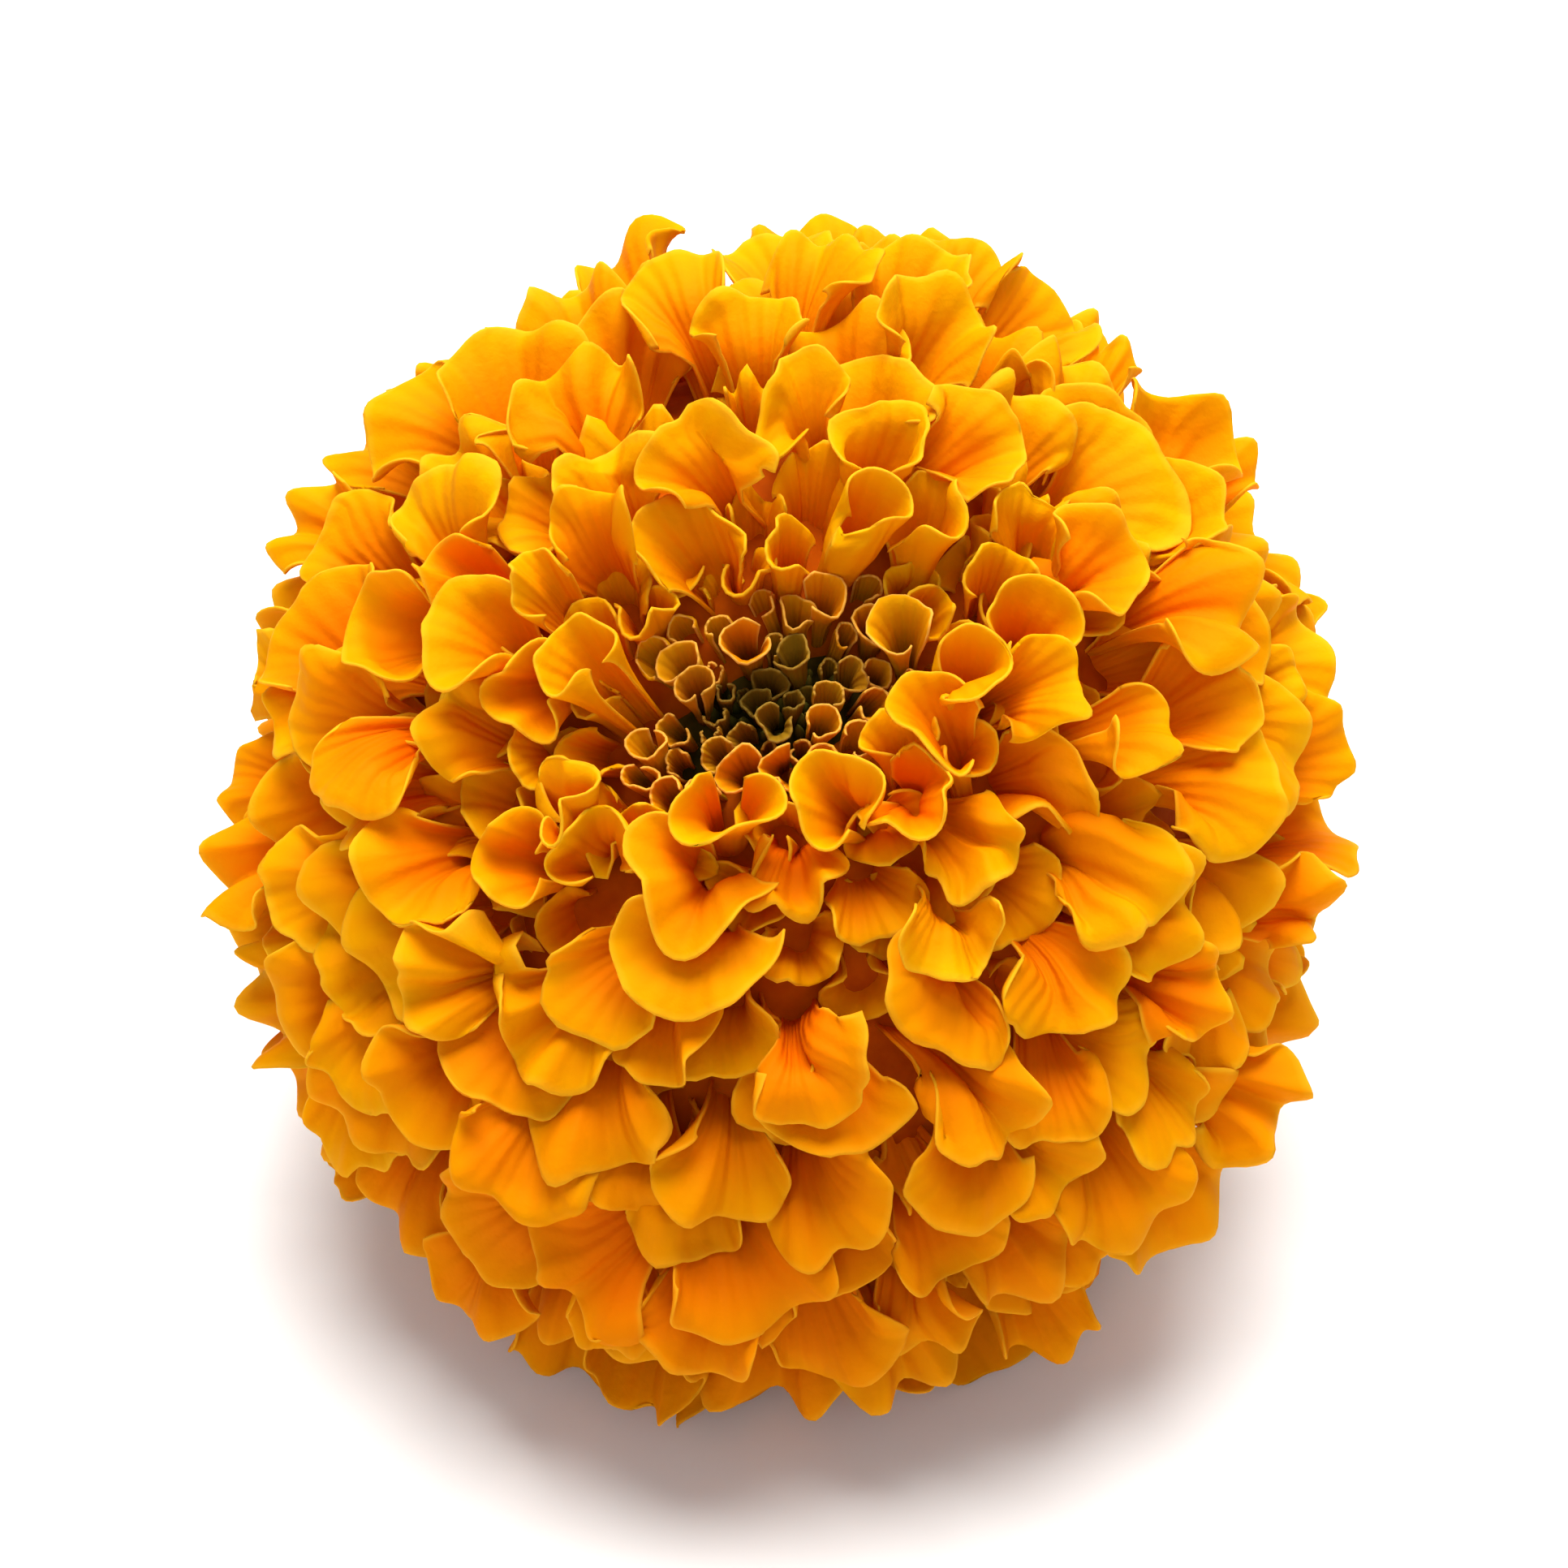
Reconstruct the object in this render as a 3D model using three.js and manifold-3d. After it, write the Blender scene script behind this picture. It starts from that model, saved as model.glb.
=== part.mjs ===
// A double marigold, picked with a short stem and laid on a flat surface.
// Units are millimetres, +Z is up and the surface is z = 0. The bloom faces -Y and up, the stem trails to +Y.
// A petal here is a sector of a trumpet: a narrow throat that opens into a wide, ruffled lip.

import * as THREE from 'three';
import { mergeVertices } from 'three/addons/utils/BufferGeometryUtils.js';
import Module from 'manifold-3d';

const wasm = await Module();
wasm.setup();

// ---- Driving dimensions -------------------------------------------------------------------------

// The bloom, in its own frame: z is the way it faces, and the origin is the middle of its widest ring.
const BLOOM_HALF_WIDTH = 38.5; // of the ring of petals where the bloom is widest,
const BLOOM_HALF_HEIGHT = 41.6; // which is a little longer up and down than across
const BLOOM_FRONT = 29; // from the widest ring to the crown of the petals
const BLOOM_BACK = 27; // from the widest ring to the tips of the lowest petals
const FACE_ELEVATION = 51; // degrees that the bloom's face looks up from the surface
const EYE_TILT = 8; // degrees that the eye sits off the bloom's axis, towards its upper side
const EYE_ANGLE = 21; // degrees from the eye's middle to its edge, seen from the bloom's middle, if round
const EYE_RIM = EYE_ANGLE * 1.15; // the same to the first open petals
const EYE_LONG = 1.36; // the eye is an oval: how much longer than round it is, to the upper right,
const EYE_SHORT = 0.72; // how much narrower it is the other way,
const EYE_LEAN = 28; // and the degrees that its long way rises to the right
const EYE_DEPTH = 7; // how deep the eye lies below the crown
const FLAT_SPOT = 1.3; // how far the lowest petals are pressed flat by the bloom's weight
const CORE_SHARE = 0.66; // the core's size as a share of the bloom's
const CORE_BACK = 12; // from the widest ring to the flat seat on the calyx
const CORE_SEAT_RADIUS = 8.6;
const CORE_SLOPE = 0.72; // rise of the core's back, from the seat outwards
const FOCUS_DEPTH = 10; // the petals grow from a point this far behind the widest ring,
const LOW_FOCUS_DEPTH = 3; // and the lowest ones, which clear the calyx, from this far

const PETAL_COUNT = 125;
const PETAL_WIDTH = 14.5;
const PETAL_THICKNESS = 0.7;
const PETAL_SECTOR = 130; // degrees of a trumpet that one petal covers
const PETAL_ROOT_DEPTH = 1.5; // how deep a petal's foot stands in the core
const PETAL_REACH = 129; // degrees from the bloom's axis to the last petals, at the back
const EYE_FLORETS = 36;
const EYE_PLUG_RADIUS = 9.6; // if round
const EYE_PLUG_DEPTH = 6;
const EYE_FLORET_RISE = 4.5; // how far the florets stand out of the plug, in the eye's middle

const CALYX_LENGTH = 14.5;
const CALYX_RADIUS = 10.5;
const CALYX_RIBS = 8;
const CALYX_WALL = 1.2;
const STEM_RADIUS = 2.7;
const STEM_NECK_RADIUS = 3.5; // the stem is swollen where it meets the calyx
const STEM_SIDES = 14;
const STEM_STRAIGHT = 52; // length that lies along the surface
const STEM_SWERVE = 9; // how far the cut end lies off the straight line, sideways
const CUT_SLANT = 20; // degrees that the cut end is off square

const GAP = 0.35; // between pieces that touch

const degrees = THREE.MathUtils.degToRad;

// ---- Small helpers ------------------------------------------------------------------------------

// A seeded generator of numbers from 0 to 1.
function seededRandom(seed) {
  let state = seed;
  return () => {
    state = (state + 0x6d2b79f5) | 0;
    let mixed = Math.imul(state ^ (state >>> 15), 1 | state);
    mixed = (mixed + Math.imul(mixed ^ (mixed >>> 7), 61 | mixed)) ^ mixed;
    return ((mixed ^ (mixed >>> 14)) >>> 0) / 4294967296;
  };
}

function around(random, middle, spread) {
  return middle + (2 * random() - 1) * spread;
}

function smooth(from, to, value) {
  return THREE.MathUtils.smoothstep(value, from, to);
}

function solidOf(geometry) {
  const bare = geometry.clone();
  bare.deleteAttribute('normal');
  bare.deleteAttribute('uv');
  const merged = mergeVertices(bare, 1e-4);
  return new wasm.Manifold(new wasm.Mesh({
    numProp: 3,
    vertProperties: merged.attributes.position.array,
    triVerts: new Uint32Array(merged.index.array),
  }));
}

function geometryOf(solid) {
  const mesh = solid.getMesh();
  const geometry = new THREE.BufferGeometry();
  geometry.setAttribute('position', new THREE.BufferAttribute(mesh.vertProperties, 3));
  geometry.setIndex(new THREE.BufferAttribute(mesh.triVerts, 1));
  return geometry;
}

function unionOf(solids) {
  let round = solids;
  while (round.length > 1) {
    const next = [];
    for (let i = 0; i < round.length; i += 2) {
      next.push(i + 1 < round.length ? round[i].add(round[i + 1]) : round[i]);
    }
    round = next;
  }
  return round[0];
}

// The largest body of a solid, with loose scraps dropped and sealed hollows filled.
function mainBody(solid) {
  return solid.decompose().reduce((best, body) => (body.volume() > best.volume() ? body : best));
}

// A closed sheet of even thickness over pointAt(across, along), both running over 0..1.
// Both faces are split into the same triangles, so a waved sheet never crosses itself.
function sheetGeometry(pointAt, stepsAcross, stepsAlong, thickness) {
  const columns = stepsAcross + 1;
  const rows = stepsAlong + 1;
  const middle = [];
  for (let j = 0; j < rows; j += 1) {
    for (let i = 0; i < columns; i += 1) middle.push(pointAt(i / stepsAcross, j / stepsAlong));
  }
  const at = (i, j) => middle[j * columns + i];
  const positions = [];
  for (const side of [0.5, -0.5]) {
    for (let j = 0; j < rows; j += 1) {
      for (let i = 0; i < columns; i += 1) {
        const acrossWay = at(Math.min(i + 1, columns - 1), j).clone().sub(at(Math.max(i - 1, 0), j));
        const alongWay = at(i, Math.min(j + 1, rows - 1)).clone().sub(at(i, Math.max(j - 1, 0)));
        const normal = acrossWay.cross(alongWay).normalize();
        positions.push(...at(i, j).clone().addScaledVector(normal, side * thickness).toArray());
      }
    }
  }
  const back = rows * columns;
  const faces = [];
  for (let j = 0; j < stepsAlong; j += 1) {
    for (let i = 0; i < stepsAcross; i += 1) {
      const [a, b] = [j * columns + i, j * columns + i + 1];
      const [c, d] = [a + columns, b + columns];
      faces.push(a, b, d, a, d, c);
      faces.push(back + a, back + d, back + b, back + a, back + c, back + d);
    }
  }
  const rim = [];
  for (let i = 0; i < stepsAcross; i += 1) rim.push(i);
  for (let j = 0; j < stepsAlong; j += 1) rim.push(j * columns + stepsAcross);
  for (let i = stepsAcross; i > 0; i -= 1) rim.push(stepsAlong * columns + i);
  for (let j = stepsAlong; j > 0; j -= 1) rim.push(j * columns);
  rim.forEach((from, k) => {
    const to = rim[(k + 1) % rim.length];
    faces.push(from, back + from, to, to, back + from, back + to);
  });
  const geometry = new THREE.BufferGeometry();
  geometry.setAttribute('position', new THREE.Float32BufferAttribute(positions, 3));
  geometry.setIndex(faces);
  return geometry;
}

// ---- The bloom's form ---------------------------------------------------------------------------

const eyeTurn = new THREE.Quaternion().setFromAxisAngle(new THREE.Vector3(1, 0, 0), -degrees(EYE_TILT));
const eyeUpright = eyeTurn.clone().invert();
const eyeDirection = new THREE.Vector3(0, 0, 1).applyQuaternion(eyeTurn);

// Degrees from the eye's middle to a direction, as if the eye was round. Far from it nothing changes.
function eyeDistance(direction) {
  const fromEye = THREE.MathUtils.radToDeg(direction.angleTo(eyeDirection));
  const own = direction.clone().applyQuaternion(eyeUpright);
  const turn = Math.atan2(own.y, own.x) - degrees(EYE_LEAN);
  const oval = Math.hypot(Math.cos(turn) / EYE_LONG, Math.sin(turn) / EYE_SHORT);
  return fromEye * THREE.MathUtils.lerp(oval, 1, smooth(EYE_ANGLE, EYE_ANGLE * 3, fromEye));
}

// How far the petals' surface lies from the bloom's middle, in a direction.
function bloomRadius(direction) {
  const { x, y, z } = direction;
  const hollow = EYE_DEPTH * (1 - smooth(EYE_ANGLE * 0.35, EYE_RIM, eyeDistance(direction)));
  const depth = z > 0 ? BLOOM_FRONT : BLOOM_BACK;
  return 1 / Math.hypot(x / BLOOM_HALF_WIDTH, y / BLOOM_HALF_HEIGHT, z / depth) - hollow;
}

// The same for the core that the petals grow from: a smaller bloom in front, a cone to a flat seat behind.
function coreRadius(direction) {
  const sine = Math.hypot(direction.x, direction.y);
  const cone = (CORE_BACK + CORE_SLOPE * CORE_SEAT_RADIUS) / Math.max(CORE_SLOPE * sine - direction.z, 0.01);
  const seat = CORE_BACK / Math.max(-direction.z, 0.01);
  return Math.min(bloomRadius(direction) * CORE_SHARE, cone, seat);
}

// How far below a petal's tip, along its axis, the core begins.
function depthToCore(tip, axis) {
  const step = 0.5;
  const point = tip.clone();
  let depth = 0;
  while (depth < BLOOM_HALF_HEIGHT && point.length() > coreRadius(point.clone().normalize())) {
    depth += step;
    point.addScaledVector(axis, -step);
  }
  return depth;
}

// Directions that cover a sphere evenly, from the eye outwards, between two angles from the eye.
function spiralDirections(count, fromAngle, toAngle) {
  const goldenTurn = Math.PI * (3 - Math.sqrt(5));
  const [start, end] = [Math.cos(degrees(fromAngle)), Math.cos(degrees(toAngle))];
  return Array.from({ length: count }, (_, k) => {
    const cosine = start + (end - start) * ((k + 0.5) / count);
    const sine = Math.sqrt(1 - cosine * cosine);
    const turn = k * goldenTurn;
    const own = new THREE.Vector3(sine * Math.cos(turn), sine * Math.sin(turn), cosine);
    return own.applyQuaternion(eyeTurn);
  });
}

// ---- Petals -------------------------------------------------------------------------------------

// The trumpet's profile: how far out and how far along its axis the lip has come at a share of its length.
function trumpetProfile(length, throat, flare, share) {
  const steps = 12;
  let [radius, height] = [throat, 0];
  for (let k = 0; k < steps; k += 1) {
    const tangent = degrees(8 + (flare - 8) * (((k + 0.5) / steps) * share) ** 2);
    radius += (Math.sin(tangent) * length * share) / steps;
    height += (Math.cos(tangent) * length * share) / steps;
  }
  return { radius, height };
}

// One petal whose lip opens at the bloom's surface in a direction.
function petalSolid(direction, random) {
  const fromAxis = THREE.MathUtils.radToDeg(Math.acos(direction.z));
  // 1 on the petals beside the eye, 0 on full-grown ones.
  const young = 1 - smooth(EYE_ANGLE, EYE_ANGLE * 2.4, eyeDistance(direction));
  const low = smooth(98, 122, fromAxis); // 1 on the petals that spread from the calyx
  const width = around(random, PETAL_WIDTH, 1.2) * (1 - 0.42 * young + 0.2 * low);
  const sector = degrees(around(random, PETAL_SECTOR + 50 * young - 25 * low, 12));
  const focus = new THREE.Vector3(0, 0, -THREE.MathUtils.lerp(FOCUS_DEPTH, LOW_FOCUS_DEPTH, low));
  const flare = around(random, 104 - 22 * young - 8 * low, 9);
  const throat = 1.1;
  const wave = around(random, 1.0, 0.25) * (1 - 0.5 * young);
  const phase = random() < 0.5 ? 1 : -1;
  const tip = direction.clone().multiplyScalar(bloomRadius(direction) + around(random, 0, 0.9));
  const axis = tip.clone().sub(focus).normalize();
  const outward = direction.clone().multiplyScalar(direction.dot(eyeDirection)).sub(eyeDirection)
    .projectOnPlane(axis).normalize().applyAxisAngle(axis, degrees(around(random, 0, 16)));
  const sideways = new THREE.Vector3().crossVectors(axis, outward);
  const depth = depthToCore(tip, axis) + PETAL_ROOT_DEPTH;
  const length = depth / trumpetProfile(1, 0, flare, 1).height;
  const full = trumpetProfile(length, throat, flare, 1);
  const lipSize = width / (2 * Math.sin(Math.min(sector, Math.PI) / 2)) / full.radius;
  const root = tip.clone().addScaledVector(axis, -full.height);

  const pointAt = (across, along) => {
    const side = 2 * across - 1;
    const lobes = 1 - 0.14 * side ** 4 - 0.05 * Math.cos((Math.PI / 2) * side) ** 2;
    const share = along ** 0.7 * (along > 0.9 ? lobes : 1); // the rows lie closer where the lip bends
    const { radius, height } = trumpetProfile(length, throat, flare, share);
    const angle = (side * sector) / 2;
    const ruffle = phase * wave * along * along * Math.cos(2 * Math.PI * side);
    const reach = radius * THREE.MathUtils.lerp(1, lipSize, along) + ruffle * 0.35;
    return root.clone()
      .addScaledVector(axis, height + ruffle)
      .addScaledVector(outward, reach * Math.cos(angle))
      .addScaledVector(sideways, reach * Math.sin(angle));
  };
  const stepsAcross = fromAxis > 80 || young > 0.5 ? 3 : 4; // small and half-hidden petals are plainer
  return solidOf(sheetGeometry(pointAt, stepsAcross, 2, PETAL_THICKNESS));
}

function coreSolid() {
  const ball = new THREE.SphereGeometry(1, 28, 18);
  const positions = ball.attributes.position;
  const direction = new THREE.Vector3();
  for (let i = 0; i < positions.count; i += 1) {
    direction.fromBufferAttribute(positions, i).applyAxisAngle(new THREE.Vector3(1, 0, 0), Math.PI / 2);
    direction.multiplyScalar(coreRadius(direction));
    positions.setXYZ(i, direction.x, direction.y, direction.z);
  }
  return solidOf(ball);
}

function rayPetals() {
  const random = seededRandom(7);
  return spiralDirections(PETAL_COUNT, EYE_ANGLE * EYE_SHORT, PETAL_REACH + EYE_TILT)
    .filter((direction) => eyeDistance(direction) > EYE_RIM)
    .filter((direction) => Math.acos(direction.z) < degrees(PETAL_REACH))
    .map((direction) => petalSolid(direction, random));
}

// ---- The eye ------------------------------------------------------------------------------------

// Where a point of a round eye, at a radius and a turn about the eye's own axis, lies in the oval one.
function inOval(radius, turn) {
  return new THREE.Vector2(radius * Math.cos(turn) * EYE_LONG, radius * Math.sin(turn) * EYE_SHORT)
    .rotateAround(new THREE.Vector2(), degrees(EYE_LEAN));
}

// The oval plug that the eye's florets stand on, about the eye's own axis. `grow` makes the socket for it.
function eyePlug(grow) {
  const top = bloomRadius(eyeDirection) - EYE_FLORET_RISE;
  const outline = [
    [0, top - EYE_PLUG_DEPTH - grow],
    [EYE_PLUG_RADIUS * 0.75 + grow, top - EYE_PLUG_DEPTH - grow],
    [EYE_PLUG_RADIUS + grow, top + 0.6],
  ];
  if (grow > 0) outline.push([EYE_PLUG_RADIUS + grow + 1.2, top + 5], [0, top + 5]);
  else outline.push([EYE_PLUG_RADIUS * 0.6, top + 0.2], [0, top - 0.4]);
  const plug = new THREE.LatheGeometry(outline.map(([x, y]) => new THREE.Vector2(x, y)), 24)
    .rotateX(Math.PI / 2);
  const positions = plug.attributes.position;
  for (let i = 0; i < positions.count; i += 1) {
    const [x, y] = [positions.getX(i), positions.getY(i)];
    const radius = Math.hypot(x, y);
    const room = Math.min(grow, radius); // it stays as wide, however long the oval is
    const point = inOval(radius - room, Math.atan2(y, x));
    point.setLength(point.length() + room);
    positions.setXY(i, point.x, point.y);
  }
  return plug;
}

// An unopened floret: a small six-sided trumpet with an open mouth.
function eyeFloret(mouthRadius, length) {
  const outline = [
    [0, 0],
    [mouthRadius * 0.55, 0],
    [mouthRadius, length],
    [mouthRadius * 0.72, length],
    [0, length - mouthRadius * 1.3],
  ];
  return new THREE.LatheGeometry(outline.map(([x, y]) => new THREE.Vector2(x, y)), 6)
    .rotateX(Math.PI / 2);
}

function eyeSolid() {
  const random = seededRandom(3);
  const top = bloomRadius(eyeDirection) - EYE_FLORET_RISE;
  const goldenTurn = Math.PI * (3 - Math.sqrt(5));
  const solids = [solidOf(eyePlug(0))];
  for (let k = 0; k < EYE_FLORETS; k += 1) {
    const share = Math.sqrt((k + 0.5) / EYE_FLORETS);
    const turn = k * goldenTurn;
    const { x, y } = inOval((EYE_PLUG_RADIUS - 1.5) * share, turn);
    const mouth = 0.75 + 0.75 * share;
    const length = 2.4 + 2.2 * share + around(random, 0, 0.3);
    const floret = eyeFloret(mouth, length)
      .rotateZ(random() * Math.PI)
      .rotateY(degrees(16 * share))
      .rotateZ(Math.atan2(y, x))
      .translate(x, y, top - 0.9);
    solids.push(solidOf(floret));
  }
  return mainBody(unionOf(solids));
}

// ---- Calyx and stem -----------------------------------------------------------------------------

// Height of the core's back at a distance from the axis, in the bloom's frame.
function coreBackHeight(radius) {
  return -CORE_BACK + CORE_SLOPE * Math.max(0, radius - CORE_SEAT_RADIUS);
}

const calyxRim = coreBackHeight(CALYX_RADIUS) - GAP;
const calyxFoot = calyxRim - CALYX_LENGTH;

// A ribbed cup with one tooth to each rib. The seat of the bloom's core lies in its shallow mouth.
// `grow` makes the room that it needs among the petals.
function calyxGeometry(grow) {
  const mouthRadius = CALYX_RADIUS - CALYX_WALL;
  const under = (radius) => coreBackHeight(radius) - GAP + 0.8 * grow;
  const outline = [
    [0, calyxFoot],
    [STEM_NECK_RADIUS + 0.4 + grow, calyxFoot],
    [STEM_NECK_RADIUS + 1.6 + grow, calyxFoot + CALYX_LENGTH * 0.16],
    [CALYX_RADIUS * 0.86 + grow, calyxFoot + CALYX_LENGTH * 0.52],
    [CALYX_RADIUS + grow, calyxRim - 2],
    [CALYX_RADIUS + grow, under(CALYX_RADIUS)],
    [mouthRadius, under(mouthRadius)],
    [mouthRadius - 0.5, under(0)],
    [0, under(0)],
  ];
  const cup = new THREE.LatheGeometry(outline.map(([x, y]) => new THREE.Vector2(x, y)), CALYX_RIBS * 6)
    .rotateX(Math.PI / 2);
  const positions = cup.attributes.position;
  for (let i = 0; i < positions.count; i += 1) {
    const [x, y, z] = [positions.getX(i), positions.getY(i), positions.getZ(i)];
    const outside = Math.hypot(x, y) > mouthRadius + 0.1 || z < calyxRim - 4;
    const rib = 0.5 + 0.5 * Math.cos(Math.atan2(y, x) * CALYX_RIBS);
    const bulge = outside ? 1 + 0.09 * (rib - 1) * smooth(calyxFoot, calyxFoot + 4, z) : 1;
    const tooth = outside && z > calyxRim - 0.1 && grow === 0 ? 1.6 * (1 - rib) : 0;
    positions.setXYZ(i, x * bulge, y * bulge, z - tooth);
  }
  return cup;
}

// The way from the bloom's frame to the surface it lies on.
const bloomTurn = degrees(90 - FACE_ELEVATION);
const [sinFace, cosFace] = [Math.sin(degrees(FACE_ELEVATION)), Math.cos(degrees(FACE_ELEVATION))];
const bloomHeight = Math.hypot(BLOOM_HALF_HEIGHT * cosFace, BLOOM_BACK * sinFace) - FLAT_SPOT;
const neck = new THREE.Vector3(0, 0, calyxFoot - GAP).applyAxisAngle(new THREE.Vector3(1, 0, 0), bloomTurn)
  .setZ(bloomHeight + (calyxFoot - GAP) * sinFace);
const stemHeight = STEM_RADIUS * Math.cos(Math.PI / STEM_SIDES); // it lies on one of its sides
const bendRadius = (neck.z - stemHeight) / (1 - cosFace);
const bendLength = bendRadius * degrees(FACE_ELEVATION);
const stemLength = bendLength + STEM_STRAIGHT;

// The stem's centreline by length from the neck: it bends down to the surface, then swerves along it.
function stemPoint(length) {
  const turned = Math.min(length, bendLength) / bendRadius;
  const dip = degrees(FACE_ELEVATION) - turned;
  const along = bendRadius * (sinFace - Math.sin(dip)) + Math.max(0, length - bendLength);
  const height = stemHeight + bendRadius * (1 - Math.cos(dip));
  const swerveStart = bendLength * 0.5;
  const swerve = STEM_SWERVE * (Math.max(0, length - swerveStart) / (stemLength - swerveStart)) ** 2;
  return new THREE.Vector3(swerve, neck.y + along, height);
}

// A tube around the stem's centreline, swollen at the neck and cut at a slant.
function stemGeometry() {
  const [sides, rings] = [STEM_SIDES, 24];
  const positions = [];
  const faces = [];
  const up = new THREE.Vector3(0, 0, 1);
  for (let k = 0; k <= rings; k += 1) {
    const length = (stemLength * k) / rings;
    const middle = stemPoint(length);
    const forward = stemPoint(length + 0.01).sub(stemPoint(length - 0.01)).normalize();
    if (k === 0) forward.set(0, cosFace, -sinFace);
    const side = new THREE.Vector3().crossVectors(forward, up).normalize();
    const over = new THREE.Vector3().crossVectors(side, forward);
    const radius = STEM_RADIUS + (STEM_NECK_RADIUS - STEM_RADIUS) * (1 - smooth(0, bendLength * 0.8, length));
    for (let i = 0; i < sides; i += 1) {
      const turn = (i / sides) * 2 * Math.PI;
      const slant = k === rings ? Math.sin(turn) * radius * Math.tan(degrees(CUT_SLANT)) : 0;
      const point = middle.clone().addScaledVector(side, radius * Math.cos(turn))
        .addScaledVector(over, radius * Math.sin(turn)).addScaledVector(forward, -slant);
      positions.push(...point.toArray());
    }
  }
  positions.push(...stemPoint(0).toArray(), ...stemPoint(stemLength).toArray());
  const [first, last] = [(rings + 1) * sides, (rings + 1) * sides + 1];
  for (let i = 0; i < sides; i += 1) {
    const next = (i + 1) % sides;
    for (let k = 0; k < rings; k += 1) {
      const [a, b, c, d] = [k * sides + i, k * sides + next, (k + 1) * sides + i, (k + 1) * sides + next];
      faces.push(a, d, b, a, c, d);
    }
    faces.push(first, i, next, last, rings * sides + next, rings * sides + i);
  }
  const geometry = new THREE.BufferGeometry();
  geometry.setAttribute('position', new THREE.Float32BufferAttribute(positions, 3));
  geometry.setIndex(faces);
  return geometry;
}

// ---- Assembly -----------------------------------------------------------------------------------

const petalMaterial = new THREE.MeshStandardMaterial({ color: 0xf48c06, roughness: 0.6, metalness: 0 });
const eyeMaterial = new THREE.MeshStandardMaterial({ color: 0x8a5a12, roughness: 0.7, metalness: 0 });
const calyxMaterial = new THREE.MeshStandardMaterial({ color: 0x5d7a2e, roughness: 0.6, metalness: 0 });
const stemMaterial = new THREE.MeshStandardMaterial({ color: 0x6c8b3a, roughness: 0.55, metalness: 0 });

const bloom = new THREE.Group();
bloom.rotation.x = bloomTurn;
bloom.position.z = bloomHeight;
bloom.updateMatrixWorld();

const intoBloom = bloom.matrixWorld.clone().invert();

// Everything below the surface, in the bloom's frame.
const ground = solidOf(new THREE.BoxGeometry(300, 300, 60).translate(0, 0, -30).applyMatrix4(intoBloom));
const socket = solidOf(eyePlug(GAP).applyQuaternion(eyeTurn));
const rays = unionOf([coreSolid(), ...rayPetals()]);
const eye = eyeSolid();

function pieceOf(name, geometry, material) {
  const piece = new THREE.Mesh(geometry, material);
  piece.name = name;
  return piece;
}

const calyxSolid = solidOf(calyxGeometry(0));
const calyxRoom = solidOf(calyxGeometry(GAP));
const petalBody = mainBody(rays.subtract(ground).subtract(socket).subtract(calyxRoom));
bloom.add(
  pieceOf('ray_florets', geometryOf(petalBody), petalMaterial),
  pieceOf('eye_florets', geometryOf(eye).applyQuaternion(eyeTurn), eyeMaterial),
  pieceOf('calyx', geometryOf(calyxSolid), calyxMaterial),
);

const flower = new THREE.Group();
flower.add(bloom, pieceOf('stem', stemGeometry(), stemMaterial));

// The origin is on the surface, under the middle of the flower's box.
flower.updateMatrixWorld(true);
const box = new THREE.Box3().setFromObject(flower, true);
flower.position.set(-(box.min.x + box.max.x) / 2, -(box.min.y + box.max.y) / 2, 0);

const marigold = new THREE.Group();
marigold.add(flower);
export default marigold;
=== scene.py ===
"""A picked double marigold, lying on a pale floor. The bloom faces the camera, and the stem trails behind it.

Lengths in the making functions are millimetres in the bloom's own frame, where +Z is the way the bloom faces.
"""

import math

import bpy
import numpy as np
from mathutils import Matrix, Vector
from mathutils.bvhtree import BVHTree


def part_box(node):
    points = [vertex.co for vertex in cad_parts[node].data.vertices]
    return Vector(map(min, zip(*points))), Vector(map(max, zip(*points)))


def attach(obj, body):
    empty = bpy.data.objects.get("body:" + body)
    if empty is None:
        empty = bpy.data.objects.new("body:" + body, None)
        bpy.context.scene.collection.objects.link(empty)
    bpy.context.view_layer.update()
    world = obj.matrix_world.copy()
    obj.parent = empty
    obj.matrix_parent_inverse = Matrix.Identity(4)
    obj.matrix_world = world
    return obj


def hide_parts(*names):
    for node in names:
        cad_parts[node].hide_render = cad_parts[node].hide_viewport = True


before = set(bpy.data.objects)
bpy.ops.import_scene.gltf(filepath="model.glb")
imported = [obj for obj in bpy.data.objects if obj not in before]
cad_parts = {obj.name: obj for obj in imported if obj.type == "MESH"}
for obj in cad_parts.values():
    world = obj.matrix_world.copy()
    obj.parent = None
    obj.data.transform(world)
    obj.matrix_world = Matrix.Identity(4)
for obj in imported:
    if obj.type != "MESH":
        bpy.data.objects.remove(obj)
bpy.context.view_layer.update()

# ---- The part's own dimensions, in millimetres and degrees -------------------------------------------

BLOOM_HALF_WIDTH = 38.5
BLOOM_HALF_HEIGHT = 41.6
BLOOM_FRONT = 29.0
BLOOM_BACK = 27.0
FACE_ELEVATION = 51.0
FLAT_SPOT = 1.3

EYE_TILT = 8.0
EYE_ANGLE = 21.0
EYE_RIM = EYE_ANGLE * 1.15
EYE_LONG = 1.36
EYE_SHORT = 0.72
EYE_LEAN = 28.0
EYE_DEPTH = 7.0

# A petal's axis points away from a focus behind the bloom's middle, and its root ends in the core.
FOCUS_DEPTH = 10.0
LOW_FOCUS_DEPTH = 3.0
PETAL_REACH = 129.0
CORE_SHARE = 0.66
FEET_SHARE = 0.75
CORE_BACK = 12.0
CORE_SEAT_RADIUS = 8.6
CORE_SLOPE = 0.72

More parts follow.
